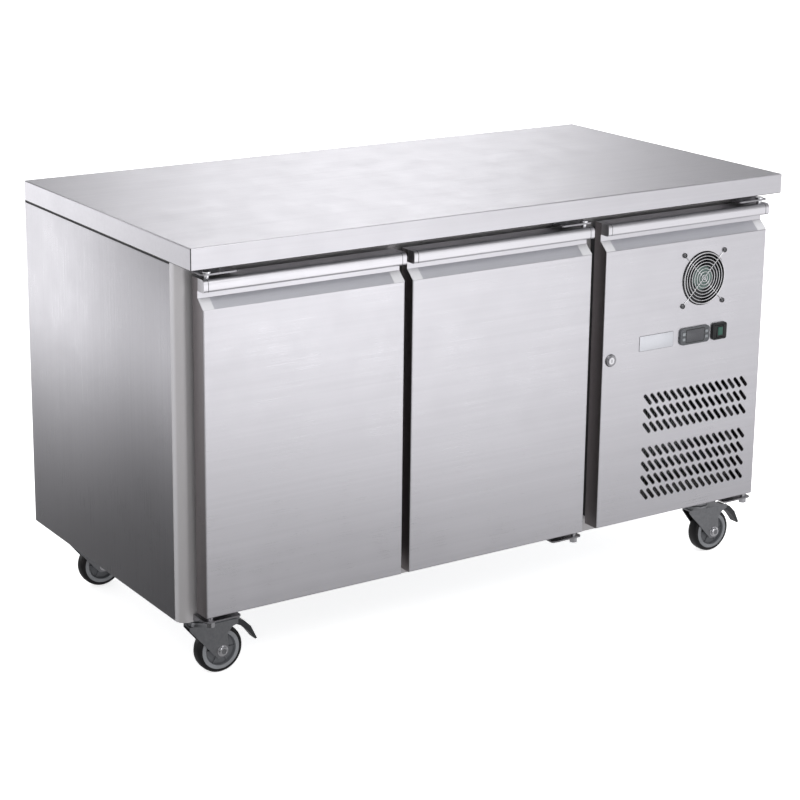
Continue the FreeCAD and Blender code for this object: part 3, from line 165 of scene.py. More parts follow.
# ---- materials -------------------------------------------------------------
# noise cells per metre
GRAIN_ALONG = 5.0
GRAIN_ACROSS = 1500.0
STREAK_ALONG = 1.2
STREAK_ACROSS = 130.0
CLOUD_SCALE = 3.0
SMEAR_SCALE = 14.0
SCUFF_SCALE = 18.0
WORN_SCALE = 22.0
SPANGLE_DEPTH = 0.0003
# direction across each grain, tipped a little so that it's never along a normal
GRAIN_TANGENTS = {"X": (0.002, 0.003, 1.0), "Z": (1.0, 1.0, 0.002)}


def side_facing(tree):
    """1 on faces that look along the object's X axis, 0 elsewhere; it places painted side shading."""
    source = add_node(tree, "TexCoord")
    axes = add_node(tree, "SeparateXYZ", None, {"Vector": source.outputs["Normal"]})
    return spread(tree, maths(tree, "ABSOLUTE", axes.outputs["X"]), 0.0, 1.0, 0.8, 0.95)


def slot_wall_shade_mask(tree, low, high):
    """1 on the walls of openings that pass through a front sheet between two (x, z) corners, where painted
    shade goes.
    """
    source = add_node(tree, "TexCoord")
    place = add_node(tree, "SeparateXYZ", None, {"Vector": source.outputs["Object"]})
    facing = add_node(tree, "SeparateXYZ", None, {"Vector": source.outputs["Normal"]})
    inside = spread(tree, maths(tree, "ABSOLUTE", facing.outputs["Y"]), 1.0, 0.0, 0.4, 0.8)
    for axis, start, end in (("X", low[0], high[0]), ("Z", low[1], high[1])):
        for test, limit in (("GREATER_THAN", start), ("LESS_THAN", end)):
            inside = maths(tree, "MULTIPLY", inside, maths(tree, test, place.outputs[axis], limit))
    return inside


def brushed_steel(name, grain, colour, roughness=0.3, anisotropy=0.7, contrast=0.03, metallic=1.0,
                  side_shading=None, relief=0.12, slots=None):
    """Stainless sheet with grain lines along one axis, faint clouding and handling marks; on request,
    painted shading on the faces along X and painted shade on the walls of slots.
    """
    material, tree, shader = blank(name)
    fine_scale = [GRAIN_ACROSS] * 3
    streak_scale = [STREAK_ACROSS] * 3
    fine_scale["XYZ".index(grain)] = GRAIN_ALONG
    streak_scale["XYZ".index(grain)] = STREAK_ALONG
    fine = noise(tree, object_space(tree, fine_scale), detail=3.0, roughness=0.6)
    streak = noise(tree, object_space(tree, streak_scale), detail=4.0, roughness=0.6)
    cloud = noise(tree, object_space(tree, (CLOUD_SCALE,) * 3), detail=3.0)
    smear = noise(tree, object_space(tree, (SMEAR_SCALE,) * 3), detail=5.0, roughness=0.65)
    base = mixed(tree, spread(tree, streak, 0.0, 1.0), shade(colour, 1 - contrast),
                 shade(colour, 1 + contrast))
    base = mixed(tree, spread(tree, cloud, 0.0, 0.35), base, shade(colour, 0.93))
    # painted shading: faces along the object's X axis take their own colour, painted shade on the door sides
    if side_shading is not None:
        base = mixed(tree, side_facing(tree), base, side_shading)
    # painted shade: near-black on the walls of the vent slots
    if slots is not None:
        base = mixed(tree, slot_wall_shade_mask(tree, *slots), base, SLOT_SHADE)
    tree.links.new(base, shader.inputs["Base Color"])
    rough = maths(tree, "ADD", spread(tree, fine, roughness - 0.04, roughness + 0.05),
                  spread(tree, smear, -0.015, 0.035))
    tree.links.new(rough, shader.inputs["Roughness"])
    shader.inputs["Metallic"].default_value = metallic
    shader.inputs["Anisotropic"].default_value = anisotropy
    tree.links.new(across_grain(tree, GRAIN_TANGENTS[grain]), shader.inputs["Tangent"])
    height = bump(tree, fine, relief, 0.0004)
    tree.links.new(bump(tree, cloud, 0.05, 0.004, height), shader.inputs["Normal"])
    return material


def plain_metal(name, colour, roughness, speck=60.0, contrast=0.06, metallic=1.0):
    """Plated or cast metal: small spangle, uneven gloss and light scuffs."""
    material, tree, shader = blank(name)
    grain = noise(tree, object_space(tree, (speck,) * 3), detail=4.0, roughness=0.6)
    scuff = noise(tree, object_space(tree, (SCUFF_SCALE,) * 3), detail=6.0, roughness=0.7)
    base = mixed(tree, spread(tree, grain, 0.0, 1.0), shade(colour, 1 - contrast),
                 shade(colour, 1 + contrast))
    tree.links.new(base, shader.inputs["Base Color"])
    tree.links.new(spread(tree, scuff, roughness - 0.06, roughness + 0.08), shader.inputs["Roughness"])
    shader.inputs["Metallic"].default_value = metallic
    tree.links.new(bump(tree, grain, 0.15, SPANGLE_DEPTH), shader.inputs["Normal"])
    return material


def moulded(name, colour, roughness, texture=900.0, depth=0.0002, specular=0.5, coat=0.0):
    """Moulded plastic or rubber with a fine skin texture and worn patches."""
    material, tree, shader = blank(name)
    skin = noise(tree, object_space(tree, (texture,) * 3), detail=2.0)
    worn = noise(tree, object_space(tree, (WORN_SCALE,) * 3), detail=5.0, roughness=0.65)
    base = mixed(tree, spread(tree, worn, 0.0, 1.0), shade(colour, 0.85), shade(colour, 1.2))
    tree.links.new(base, shader.inputs["Base Color"])
    tree.links.new(spread(tree, worn, roughness - 0.05, roughness + 0.08), shader.inputs["Roughness"])
    shader.inputs["Specular IOR Level"].default_value = specular
    shader.inputs["Coat Weight"].default_value = coat
    tree.links.new(bump(tree, skin, 0.25, depth), shader.inputs["Normal"])
    return material


STEEL = (0.632, 0.626, 0.65)
# painted shade on the doors' side faces
DOOR_SIDE_SHADE = (0.3, 0.278, 0.283)
# painted shade inside the vent slots
SLOT_SHADE = (0.02, 0.02, 0.021)
# area of the machine door whose slot walls get painted shade
VENT_AREA = ((0.235, 0.18), (0.615, 0.72))
steel_x = brushed_steel("steel_grain_x", "X", STEEL)
steel_z = brushed_steel("steel_grain_z", "Z", STEEL)
steel_door = brushed_steel("steel_door", "X", STEEL, side_shading=DOOR_SIDE_SHADE)
steel_vents = brushed_steel("steel_machine_door", "X", STEEL, side_shading=DOOR_SIDE_SHADE, slots=VENT_AREA)
steel_top = brushed_steel("steel_worktop", "X", STEEL, roughness=0.34)
# painted shade: the frame's steel is darkened for the shade of the doors in front of it, and its faces along
# X are kept lighter
steel_frame_painted_shade = brushed_steel("steel_frame_painted_shade", "Z", (0.46, 0.448, 0.455), roughness=0.36, anisotropy=0.5,
                            contrast=0.01, metallic=0.66, side_shading=(0.6, 0.59, 0.61), relief=0.03)
# painted light: the rolled lip is a lighter copy of the door steel
steel_lip_painted_light = brushed_steel("steel_lip_painted_light", "X", (0.67, 0.664, 0.686), roughness=0.3, anisotropy=0.3)
# painted shade: the sloping strip is a darker, bluer copy of the door steel
steel_bevel_painted_shade = brushed_steel("steel_bevel_painted_shade", "X", (0.6, 0.605, 0.64), roughness=0.45, anisotropy=0.3,
                            contrast=0.05, metallic=0.76)
# painted shade: near-black metal for the worktop's rounded edges
steel_edge_shade = plain_metal("steel_edge_shade", (0.05, 0.05, 0.053), 0.4, speck=90.0)
# near-black for painted shade in seams, grooves, the keyway and round the vent slots, and for the black
# border of the display window
dark_shade_and_trim = moulded("dark_shade_and_trim", (0.012, 0.012, 0.013), 0.6)
bracket_steel = plain_metal("bracket_steel", (0.3, 0.297, 0.31), 0.3, speck=120.0, contrast=0.12)
# painted highlight: a bright, less metallic patch on each end of the sloping strip
steel_end_highlight = plain_metal("steel_end_highlight", (0.72, 0.72, 0.74), 0.5, speck=60.0, contrast=0.02,
                           metallic=0.35)
black_nickel = plain_metal("black_nickel", (0.14, 0.14, 0.145), 0.16, speck=200.0)
chrome = plain_metal("chrome", (0.62, 0.62, 0.635), 0.12, speck=240.0, contrast=0.03)
liner_sheet = brushed_steel("liner_sheet", "Z", (0.68, 0.69, 0.7), roughness=0.26, anisotropy=0.5)
galvanised = plain_metal("galvanised_sheet", (0.52, 0.54, 0.56), 0.42, speck=45.0, contrast=0.14)
zinc = plain_metal("zinc_plate", (0.27, 0.275, 0.285), 0.33, speck=160.0, contrast=0.1)
nickel = plain_metal("nickel_wire", (0.74, 0.74, 0.75), 0.34, speck=220.0, contrast=0.06)
aluminium = plain_metal("aluminium_fins", (0.78, 0.79, 0.8), 0.34, speck=120.0)
plate_metal = plain_metal("anodised_plate", (0.6, 0.61, 0.64), 0.4, speck=500.0, contrast=0.03,
                          metallic=0.88)
copper = plain_metal("copper_tube", (0.72, 0.36, 0.22), 0.26, speck=70.0, contrast=0.12)
black_enamel = plain_metal("black_enamel", (0.02, 0.021, 0.023), 0.24, speck=200.0, metallic=0.0)
foam = moulded("insulation_foam", (0.72, 0.62, 0.36), 0.8, texture=350.0, depth=0.0008)
rubber = moulded("gasket_rubber", (0.018, 0.018, 0.02), 0.5, texture=600.0)
tyre = moulded("tyre_rubber", (0.004, 0.004, 0.0045), 0.42, texture=500.0, depth=0.0003, specular=0.3)
hub_plastic = moulded("hub_plastic", (0.075, 0.078, 0.085), 0.42, texture=700.0)
hub_rim = moulded("hub_rim", (0.15, 0.155, 0.165), 0.34, texture=700.0)
fan_plastic = moulded("fan_plastic", (0.012, 0.012, 0.014), 0.38)
fan_hub = moulded("fan_hub_label", (0.11, 0.16, 0.145), 0.4)
controller_plastic = moulded("controller_plastic", (0.055, 0.058, 0.064), 0.42, texture=1200.0)
key_plastic = moulded("key_plastic", (0.16, 0.17, 0.18), 0.4)
screen_glass = moulded("screen_glass", (0.022, 0.023, 0.028), 0.12, texture=60.0, depth=0.00005, coat=0.6)
screen_edge = moulded("screen_edge", (0.3, 0.32, 0.35), 0.3)
switch_black = moulded("switch_black", (0.004, 0.004, 0.0045), 0.25, specular=0.3, coat=0.1)
switch_green = moulded("switch_green", (0.012, 0.06, 0.042), 0.2, specular=0.3, coat=0.3)
pedal_plastic = moulded("pedal_plastic", (0.016, 0.017, 0.019), 0.4)
gland_plastic = moulded("gland_plastic", (0.02, 0.02, 0.02), 0.45)
box_plastic = moulded("box_plastic", (0.35, 0.36, 0.37), 0.45)

# material of each material slot in the record, and of the nodes that differ from their slot's
SLOT_MATERIALS = {
    "stainless": steel_x, "liner_steel": liner_sheet, "galvanised": galvanised, "zinc": zinc,
    "aluminium": aluminium, "copper": copper, "black_enamel": black_enamel, "guard_wire": nickel,
    "foam": foam, "gasket_rubber": rubber, "tyre_rubber": tyre, "fan_plastic": fan_plastic,
    "controller_plastic": controller_plastic, "key_plastic": key_plastic,
    "switch_plastic": switch_black, "pedal_plastic": pedal_plastic, "gland_plastic": gland_plastic,
    "box_plastic": box_plastic, "plate_aluminium": plate_metal,
}
NODE_MATERIALS = {
    "worktop": steel_top, "side_panel_left": steel_z, "side_panel_right": steel_z,
    "door_left_skin": steel_door, "door_right_skin": steel_door, "machine_door_skin": steel_vents,
    "front_frame": steel_frame_painted_shade, "hinge_pins": chrome, "hinge_brackets": bracket_steel,
    "bracket_bolts": chrome, "lock_body": bracket_steel, "lock_barrel": chrome,
}

slot_of = {part["node"]: part["material_slot"] for part in frame["record"]["subparts"]}
for name, node in nodes.items():
    node.data.materials.clear()
    node.data.materials.append(NODE_MATERIALS.get(name, SLOT_MATERIALS[slot_of[name]]))


# ---- piece helpers ---------------------------------------------------------
CORNER_STEPS = 8


def finish_piece(name, bm, material, body, sharp=40.0):
    """Turns a bmesh into a piece that rides on a body."""
    bmesh.ops.recalc_face_normals(bm, faces=bm.faces)
    mesh = bpy.data.meshes.new(name)
    bm.to_mesh(mesh)
    bm.free()
    mesh.materials.append(material)
    mesh.shade_smooth()
    mesh.set_sharp_from_angle(angle=math.radians(sharp))
    piece = bpy.data.objects.new(name, mesh)
    bpy.context.scene.collection.objects.link(piece)
    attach(piece, body)
    return piece


def lathe_y(centre, profile, steps=64):
    """A closed (radius, y) profile turned about the Y axis through centre."""
    bm = bmesh.new()
    rings = []
    for i in range(steps):
        a = 2 * math.pi * i / steps
        rings.append([bm.verts.new((centre[0] + r * math.cos(a), centre[1] + y,
                                    centre[2] + r * math.sin(a))) for r, y in profile])
    count = len(profile)
    for i in range(steps):
        here, there = rings[i], rings[(i + 1) % steps]
        for k in range(count):
            nxt = (k + 1) % count
            bm.faces.new((here[k], here[nxt], there[nxt], there[k]))
    return bm


def block(low, high, bevel=0.0, segments=3):
    """A box between two corners with rounded edges."""
    bm = bmesh.new()
    size = [h - l for l, h in zip(low, high)]
    middle = [(h + l) / 2 for l, h in zip(low, high)]
    bmesh.ops.create_cube(bm, size=1.0)
    bmesh.ops.scale(bm, vec=size, verts=bm.verts)
    bmesh.ops.translate(bm, vec=middle, verts=bm.verts)
    if bevel:
        bmesh.ops.bevel(bm, geom=bm.edges[:], offset=bevel, segments=segments, profile=0.5,
                        affect="EDGES")
    return bm


def merge(bm, other):
    """Adds another bmesh's faces to the first."""
    mesh = bpy.data.meshes.new("scratch")
    other.to_mesh(mesh)
    other.free()
    bm.from_mesh(mesh)
    bpy.data.meshes.remove(mesh)


def merge_all(parts):
    """Several bmeshes in one."""
    first = parts[0]
    for other in parts[1:]:
        merge(first, other)
    return first


def rod(start, end, radius, steps):
    """A round bar between two points."""
    bm = bmesh.new()
    axis = Vector(end) - Vector(start)
    turn = axis.to_track_quat("Z", "X").to_matrix().to_4x4()
    place = Matrix.Translation((Vector(start) + Vector(end)) / 2) @ turn
    bmesh.ops.create_cone(bm, cap_ends=True, segments=steps, radius1=radius, radius2=radius,
                          depth=axis.length, matrix=place)
    return bm


def prism_along_x(profile, x0, x1):
    """A closed (y, z) profile drawn out along X."""
    bm = bmesh.new()
    ends = [[bm.verts.new((x, y, z)) for y, z in profile] for x in (x0, x1)]
    bm.faces.new(ends[0])
    bm.faces.new(list(reversed(ends[1])))
    for i in range(len(profile)):
        nxt = (i + 1) % len(profile)
        bm.faces.new((ends[0][i], ends[0][nxt], ends[1][nxt], ends[1][i]))
    return bm


def arc(centre, radius, start, end, steps):
    """Points of an arc, with angles in degrees."""
    angles = [math.radians(start + (end - start) * i / steps) for i in range(steps + 1)]
    return [(centre[0] + radius * math.cos(a), centre[1] + radius * math.sin(a)) for a in angles]


def rounded_plate(centre, width, height, y0, y1, corner, edge=0.0):
    """A plate in the XZ plane with rounded corners and an eased front edge at y0."""
    def outline(inset):
        points = []
        r = max(corner - inset, 0.0002)
        for sx, sz, start in ((1, 1, 0), (-1, 1, 90), (-1, -1, 180), (1, -1, 270)):
            middle = (centre.x + sx * (width / 2 - corner), centre.z + sz * (height / 2 - corner))
            points += arc(middle, r, start, start + 90, CORNER_STEPS)
        return points
    layers = [(y1, 0.0)]
    if edge:
        for i in range(4):
            a = math.radians(30 * i)
            layers.append((y0 + edge * (1 - math.sin(a)), edge * (1 - math.cos(a))))
    else:
        layers.append((y0, 0.0))
    bm = bmesh.new()
    rings = [[bm.verts.new((x, y, z)) for x, z in outline(inset)] for y, inset in layers]
    for a, b in zip(rings, rings[1:]):
        for i in range(len(a)):
            nxt = (i + 1) % len(a)
            bm.faces.new((a[i], a[nxt], b[nxt], b[i]))
    bm.faces.new(rings[0])
    bm.faces.new(list(reversed(rings[-1])))
    return bm


# ---- castor wheels ---------------------------------------------------------
WHEEL_STEPS = 96
TYRE_DEPTH = 0.008
WEB_SUNK = 0.006              # depth of the hub's disc below the boss
BORE = 0.0052
BOSS = 0.0125
BOSS_FOOT = 0.0146
SPOKES = 6
SPOKE_HALF = 0.0011


def make_wheel(corner):
    """Tyre with rounded shoulders, spoked hub and a lighter ring on the hub's rim."""
    node = "castor_wheel_" + corner
    low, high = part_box(node)
    centre = (low + high) / 2
    radius = (high.x - low.x) / 2
    half = (high.y - low.y) / 2
    rim = radius - TYRE_DEPTH
    side = half - 0.001
    tyre_profile = [
        (rim, -side), (radius - 0.005, -side), (radius - 0.0026, -side + 0.0012),
        (radius - 0.0008, -side + 0.0042), (radius - 0.0001, -side + 0.009),
        (radius - 0.0001, side - 0.009), (radius - 0.0008, side - 0.0042),
        (radius - 0.0026, side - 0.0012), (radius - 0.005, side), (rim, side),
    ]
    tyre_piece = finish_piece("tyre_" + corner, lathe_y(centre, tyre_profile, WHEEL_STEPS), tyre,
                              "wheel_" + corner, sharp=50)
    web = half - WEB_SUNK
    hub_profile = [
        (BORE, -half), (BOSS, -half), (BOSS + 0.0013, -half + 0.0012), (BOSS_FOOT, -web),
        (rim - 0.0098, -web),
        (rim - 0.0088, -half + 0.0022), (rim - 0.0074, -half + 0.0008), (rim - 0.0016, -half + 0.0008),
        (rim, -half + 0.0016), (rim, half - 0.0016), (rim - 0.0016, half - 0.0008),
        (rim - 0.0074, half - 0.0008), (rim - 0.0088, half - 0.0022), (rim - 0.0098, web),
        (BOSS_FOOT, web), (BOSS + 0.0013, half - 0.0012), (BOSS, half), (BORE, half),
    ]
    hub = lathe_y(centre, hub_profile, WHEEL_STEPS)
    for spoke in range(SPOKES):
        a = 2 * math.pi * spoke / SPOKES
        for sign in (-1, 1):
            rib = block((BOSS_FOOT - 0.0004, web - 0.0006, -SPOKE_HALF),
                        (rim - 0.009, web + 0.0022, SPOKE_HALF), 0.0004, 1)
            if sign < 0:
                bmesh.ops.scale(rib, vec=(1, -1, 1), verts=rib.verts)
            bmesh.ops.rotate(rib, matrix=Matrix.Rotation(a, 3, "Y"), verts=rib.verts)
            bmesh.ops.translate(rib, vec=centre, verts=rib.verts)
            merge(hub, rib)
    hub_piece = finish_piece("hub_" + corner, hub, hub_plastic, "wheel_" + corner)
    ring = merge_all([lathe_y(centre, [
        (rim - 0.0075, sign * (half - 0.0006)), (rim - 0.0015, sign * (half - 0.0006)),
        (rim - 0.0002, sign * (half - 0.0012)), (rim - 0.0002, sign * (half - 0.0026)),
        (rim - 0.0078, sign * (half - 0.0026)),
    ], WHEEL_STEPS) for sign in (-1, 1)])
    ring_piece = finish_piece("hub_rim_" + corner, ring, hub_rim, "wheel_" + corner)
    for piece in (tyre_piece, hub_piece, ring_piece):
        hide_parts(node)


for corner in CORNERS:
    make_wheel(corner)


# ---- eased sheet edges -----------------------------------------------------
SHARP_ANGLE = 40.0


def ease_edges(name, width, shaded_edge_material=None):
    """Small radius on the sharp edges of a carried-over node, whose rounded faces take a second material
    when one is given.
    """
    node = nodes[name]
    weld = node.modifiers.new("weld", "WELD")
    weld.merge_threshold = 0.00001
    ease = node.modifiers.new("ease", "BEVEL")
    ease.width = width
    ease.segments = 2
    ease.limit_method = "ANGLE"
    ease.angle_limit = math.radians(SHARP_ANGLE)
    ease.use_clamp_overlap = True
    ease.harden_normals = True
    if shaded_edge_material is not None:
        node.data.materials.append(shaded_edge_material)
        ease.material = 1


# painted shade: the worktop's rounded edges are near-black
ease_edges("worktop", 0.0013, steel_edge_shade)
for name in ("controller_body", "switch_housing", "hinge_brackets",
             *("castor_fork_" + corner for corner in CORNERS), "castor_mounts",
             "brake_pedal_front_left", "brake_pedal_front_right"):
    ease_edges(name, 0.0006)


# ---- side panels -----------------------------------------------------------
TOP_SEAM = 0.0036
SHADE_STRIP_INSET = 0.6              # share of the sheet's thickness
SHADE_STRIP_HEIGHT = 0.004


def make_side_sheet(side):
    """Side sheet with eased edges, ending just below the worktop, and a dark strip in the seam as painted
    shade.
    """
    node = "side_panel_" + side
    low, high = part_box(node)
    high_z = high.z - TOP_SEAM
    sheet = block(low, (high.x, high.y, high_z), 0.00035, 2)
    sheet_piece = finish_piece("side_sheet_" + side, sheet, steel_z, "cabinet")
    outer, inner = (low.x, high.x) if side == "left" else (high.x, low.x)
    inset = outer + (inner - outer) * SHADE_STRIP_INSET
    strip_x = sorted((inset, inner))
    # painted shade: a near-black strip fills the seam under the worktop
    strip = block((strip_x[0], low.y, high_z - SHADE_STRIP_HEIGHT), (strip_x[1], high.y, high.z), 0.0001, 1)
    strip_piece = finish_piece("seam_shade_strip_" + side, strip, dark_shade_and_trim, "cabinet")
    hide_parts(node)
    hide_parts(node)


# ---- axle bolts ------------------------------------------------------------
AXLE_FACE = 0.02              # from the castor's middle to the fork's outer face


def make_axle_bolt(corner):
    """Flanged caps over the axle's head and nut, on the two outer faces of the fork."""
    wheel_low, wheel_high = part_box("castor_wheel_" + corner)
    fork_low, fork_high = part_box("castor_fork_" + corner)
    centre = (wheel_low + wheel_high) / 2
    middle = (fork_low.y + fork_high.y) / 2
    parts = []
    for sign in (-1, 1):
        parts.append(lathe_y((centre.x, middle, centre.z), [(r, sign * (AXLE_FACE + y)) for r, y in (
            (0.0004, -0.001), (0.0112, -0.001), (0.0116, 0.0002), (0.0112, 0.0014), (0.0091, 0.0016),
            (0.0089, 0.0052), (0.0078, 0.0062), (0.0052, 0.0063), (0.0048, 0.0056), (0.0004, 0.0055),
        )], 48))
    finish_piece("axle_bolt_" + corner, merge_all(parts), chrome, "castor_" + corner,
                 sharp=25)


for corner in CORNERS:
    make_axle_bolt(corner)


make_side_sheet("left")
make_side_sheet("right")


# ---- door lips -------------------------------------------------------------
LIP_PLUG = 0.0095             # length of the end plugs
LIP_GROOVE = 0.0011           # gap between a plug and the roll
LIP_HEIGHT = 0.023
LIP_DEPTH = 0.023
LIP_PROUD = 0.0002            # stands this far off the CAD nose, so that they never coincide
LIP_TOP_RADIUS = 0.0085
LIP_LOW_RADIUS = 0.005
FACE_Y = -0.342               # front face of the doors
RECESS_Y = -0.322             # face above the sloping strip
BEVEL_LOW = 0.735
BEVEL_HIGH = 0.753
END_HIGHLIGHT_WIDTH = 0.023          # painted highlight on each end of the sloping strip


def lip_profile(front, top, sunk=0.0):
    """Flat-fronted roll: large radius on top, smaller one below."""
    front += sunk - LIP_PROUD
    top += LIP_PROUD - sunk
    low = top - LIP_HEIGHT - 2 * (LIP_PROUD - sunk)
    points = [(front + LIP_DEPTH, top), (front + LIP_DEPTH, low)]
    points += arc((front + LIP_LOW_RADIUS, low + LIP_LOW_RADIUS), LIP_LOW_RADIUS, 270, 180, 8)
    points += arc((front + LIP_TOP_RADIUS, top - LIP_TOP_RADIUS), LIP_TOP_RADIUS, 180, 90, 12)
    return points


def bevel_patch(x0, x1, proud):
    """Thin cover over part of the sloping strip under the lip."""
    low_y, high_y = FACE_Y + 0.0006, RECESS_Y - 0.0006
    low_z, high_z = BEVEL_LOW + 0.0004, BEVEL_HIGH - 0.0007
    return prism_along_x([(low_y, low_z), (low_y - proud, low_z + proud),
                          (high_y - proud, high_z + proud), (high_y, high_z)], x0, x1)


def make_lip(door, body):
    """Rolled lip with end plugs over a dark filling that shows as painted shade in the grooves, and the
    sloping strip under it with a painted highlight on each end.
    """
    low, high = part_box(door)
    front, top = low.y, high.z
    roll = prism_along_x(lip_profile(front, top), low.x + LIP_PLUG, high.x - LIP_PLUG)
    # painted shade: a near-black filling inside the roll, seen in the grooves beside the plugs
    core = prism_along_x(lip_profile(front, top, LIP_PROUD * 0.8), low.x + 0.001, high.x - 0.001)
    plugs = merge_all([prism_along_x(lip_profile(front, top), *ends) for ends in (
        (low.x - LIP_PROUD, low.x + LIP_PLUG - LIP_GROOVE),
        (high.x - LIP_PLUG + LIP_GROOVE, high.x + LIP_PROUD))])
    strip = bevel_patch(low.x + END_HIGHLIGHT_WIDTH, high.x - END_HIGHLIGHT_WIDTH, 0.00015)
    end_highlights = merge_all([bevel_patch(low.x + 0.0006, low.x + END_HIGHLIGHT_WIDTH, 0.0002),
                        bevel_patch(high.x - END_HIGHLIGHT_WIDTH, high.x - 0.0006, 0.0002)])
    for part, mesh, material in (("lip", roll, steel_lip_painted_light), ("lip_groove_shade", core, dark_shade_and_trim),
                                 ("lip_plugs", plugs, steel_lip_painted_light), ("bevel_strip", strip, steel_bevel_painted_shade),
                                 ("bevel_end_highlight", end_highlights, steel_end_highlight)):
        finish_piece(body + "_" + part, mesh, material, body, sharp=30)


for door, body in (("door_left_skin", "door_left"), ("door_right_skin", "door_right"),
                   ("machine_door_skin", "machine_door")):
    make_lip(door, body)


# ---- fan guard -------------------------------------------------------------
GUARD_WIRE = 0.0009           # radius of the wire
OUTER_WIRE = 1.4              # thickness of the outer ring's wire against the others'
GUARD_RINGS = 8
GUARD_PITCH = 0.0065
GUARD_RADIUS = 0.0525
MIDDLE_RING = 0.0028
EYE_RADIUS = 0.0034
EYE_INSET = 0.0055            # from the guard's outline to the middle of an eye
SPOKE_SHARE = 0.96            # of the way from the middle to an eye
HUB_RADIUS = 0.0245
LABEL_PROUD = 0.0012
WIRE_SIDES = 10


def torus_y(centre, radius, wire, steps=72):
    """A wire ring about the Y axis."""
    circle = arc((radius, 0.0), wire, 0, 360 * (WIRE_SIDES - 1) / WIRE_SIDES, WIRE_SIDES - 1)
    return lathe_y(centre, circle, steps)


def make_guard():
    """Wire rings, two crossed wires with eyes at their ends, and domed screws."""
    low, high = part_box("vent_fan_guard")
    centre = Vector(((low.x + high.x) / 2, 0.0, (low.z + high.z) / 2))
    reach = (high.x - low.x) / 2 - EYE_INSET
    back_y = FACE_Y - 0.0003 - GUARD_WIRE
    front_y = back_y - 2 * GUARD_WIRE
    rings = []
    for i in range(GUARD_RINGS):
        wire = GUARD_WIRE * (OUTER_WIRE if i == 0 else 1.0)
        rings.append(torus_y((centre.x, front_y, centre.z), GUARD_RADIUS - i * GUARD_PITCH, wire))
    spoke = reach * SPOKE_SHARE
    for sz in (1, -1):
        ends = [(centre.x + k * spoke, back_y, centre.z + k * sz * spoke) for k in (-1, 1)]
        rings.append(rod(ends[0], ends[1], GUARD_WIRE, 12))
    rings.append(torus_y((centre.x, front_y, centre.z), MIDDLE_RING, GUARD_WIRE, 32))
    screws = []
    for sx in (-1, 1):
        for sz in (-1, 1):
            eye = (centre.x + sx * reach, back_y, centre.z + sz * reach)
            rings.append(torus_y(eye, EYE_RADIUS, GUARD_WIRE, 32))
            screws.append(lathe_y((eye[0], FACE_Y, eye[2]), [
                (0.0002, 0.0015), (0.0022, 0.0015), (0.0022, -0.0012), (0.0052, -0.0014),
                (0.0049, -0.0026), (0.0038, -0.0036), (0.0021, -0.0042), (0.0017, -0.003), (0.0002, -0.0029),
            ], 32))
    guard = finish_piece("fan_guard_wires", merge_all(rings), nickel, "machine_door")
    heads = finish_piece("fan_guard_screws", merge_all(screws), black_nickel, "machine_door")
    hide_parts("vent_fan_guard")
    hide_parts("vent_fan_guard")
    rotor_low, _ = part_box("vent_fan_rotor")
    label = lathe_y((centre.x, rotor_low.y - LABEL_PROUD, centre.z), [
        (0.0002, 0.0), (HUB_RADIUS - 0.002, 0.0), (HUB_RADIUS, 0.001), (HUB_RADIUS, 0.0016),
        (0.0002, 0.0016),
    ], 48)
    finish_piece("fan_hub_label", label, fan_hub, "vent_fan")


make_guard()


# ---- vent slots ------------------------------------------------------------
SLOT_ROWS = 7
SLOT_COLUMNS = 16
SLOT_LENGTH = 0.027
SLOT_WIDTH = 0.00575
SLOT_LEAN = 50.0
SLOT_LOW_Z = 0.214            # middle of the lowest row
SLOT_PITCH_Z = 0.0299
SLOT_BREAK_AFTER = 4          # rows under the wider band
SLOT_BREAK = 0.023
SLOT_FROM_RIGHT = 0.0408      # from the door's hinged edge to the last column
SLOT_PITCH_X = 0.01713
SLOT_SHADE_WIDTH = 0.0012            # width of the painted-shade ring
EDGE_PROUD = 0.00015          # out of the sheet's face
EDGE_SUNK = 0.0001            # into it


def make_slot_shade_rings():
    """Flat dark ring round every vent slot, painted shade that makes the slots look wider, as in the photo.
    """
    _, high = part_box("machine_door_skin")
    lean = math.radians(-SLOT_LEAN)
    along = Vector((math.cos(lean), 0.0, math.sin(lean)))
    across = Vector((-math.sin(lean), 0.0, math.cos(lean)))
    half = (SLOT_LENGTH - SLOT_WIDTH) / 2
    inner = SLOT_WIDTH / 2
    outer = inner + SLOT_SHADE_WIDTH
    section = ((inner, FACE_Y + EDGE_SUNK), (inner, FACE_Y - EDGE_PROUD),
               (outer, FACE_Y - EDGE_PROUD), (outer, FACE_Y + EDGE_SUNK))
    bm = bmesh.new()
    for row in range(SLOT_ROWS):
        z = SLOT_LOW_Z + row * SLOT_PITCH_Z + (SLOT_BREAK if row >= SLOT_BREAK_AFTER else 0.0)
        for column in range(SLOT_COLUMNS):
            centre = Vector((high.x - SLOT_FROM_RIGHT - column * SLOT_PITCH_X, 0.0, z))
            loops = []
            for r, y in section:
                points = []
                for end, start in ((1, -90), (-1, 90)):
                    points += [(end * half + a, b) for a, b in arc((0.0, 0.0), r, start, start + 180, 10)]
                loops.append([bm.verts.new(centre + along * a + across * b + Vector((0, y, 0)))
                              for a, b in points])
            for first, second in zip(loops, loops[1:] + loops[:1]):
                for i in range(len(first)):
                    j = (i + 1) % len(first)
                    bm.faces.new((first[i], first[j], second[j], second[i]))
    finish_piece("slot_shade_rings", bm, dark_shade_and_trim, "machine_door")


# ---- controller, switch, lock and plate ------------------------------------
WINDOW_WIDTH = 0.0495
WINDOW_MARGIN = 0.0065        # bezel above and below the window, together
WINDOW_BORDER = 0.003         # both borders together
MARK_LONG = 0.0032
MARK_THIN = 0.0009
SWITCH_MARGIN = 0.003         # housing outside the rim
POCKET_GAP = 0.0012           # between rocker and rim
LENS_HALF = 0.0085            # half the height of the rocker's window
PLATE_BORDER = 0.0014         # both borders together


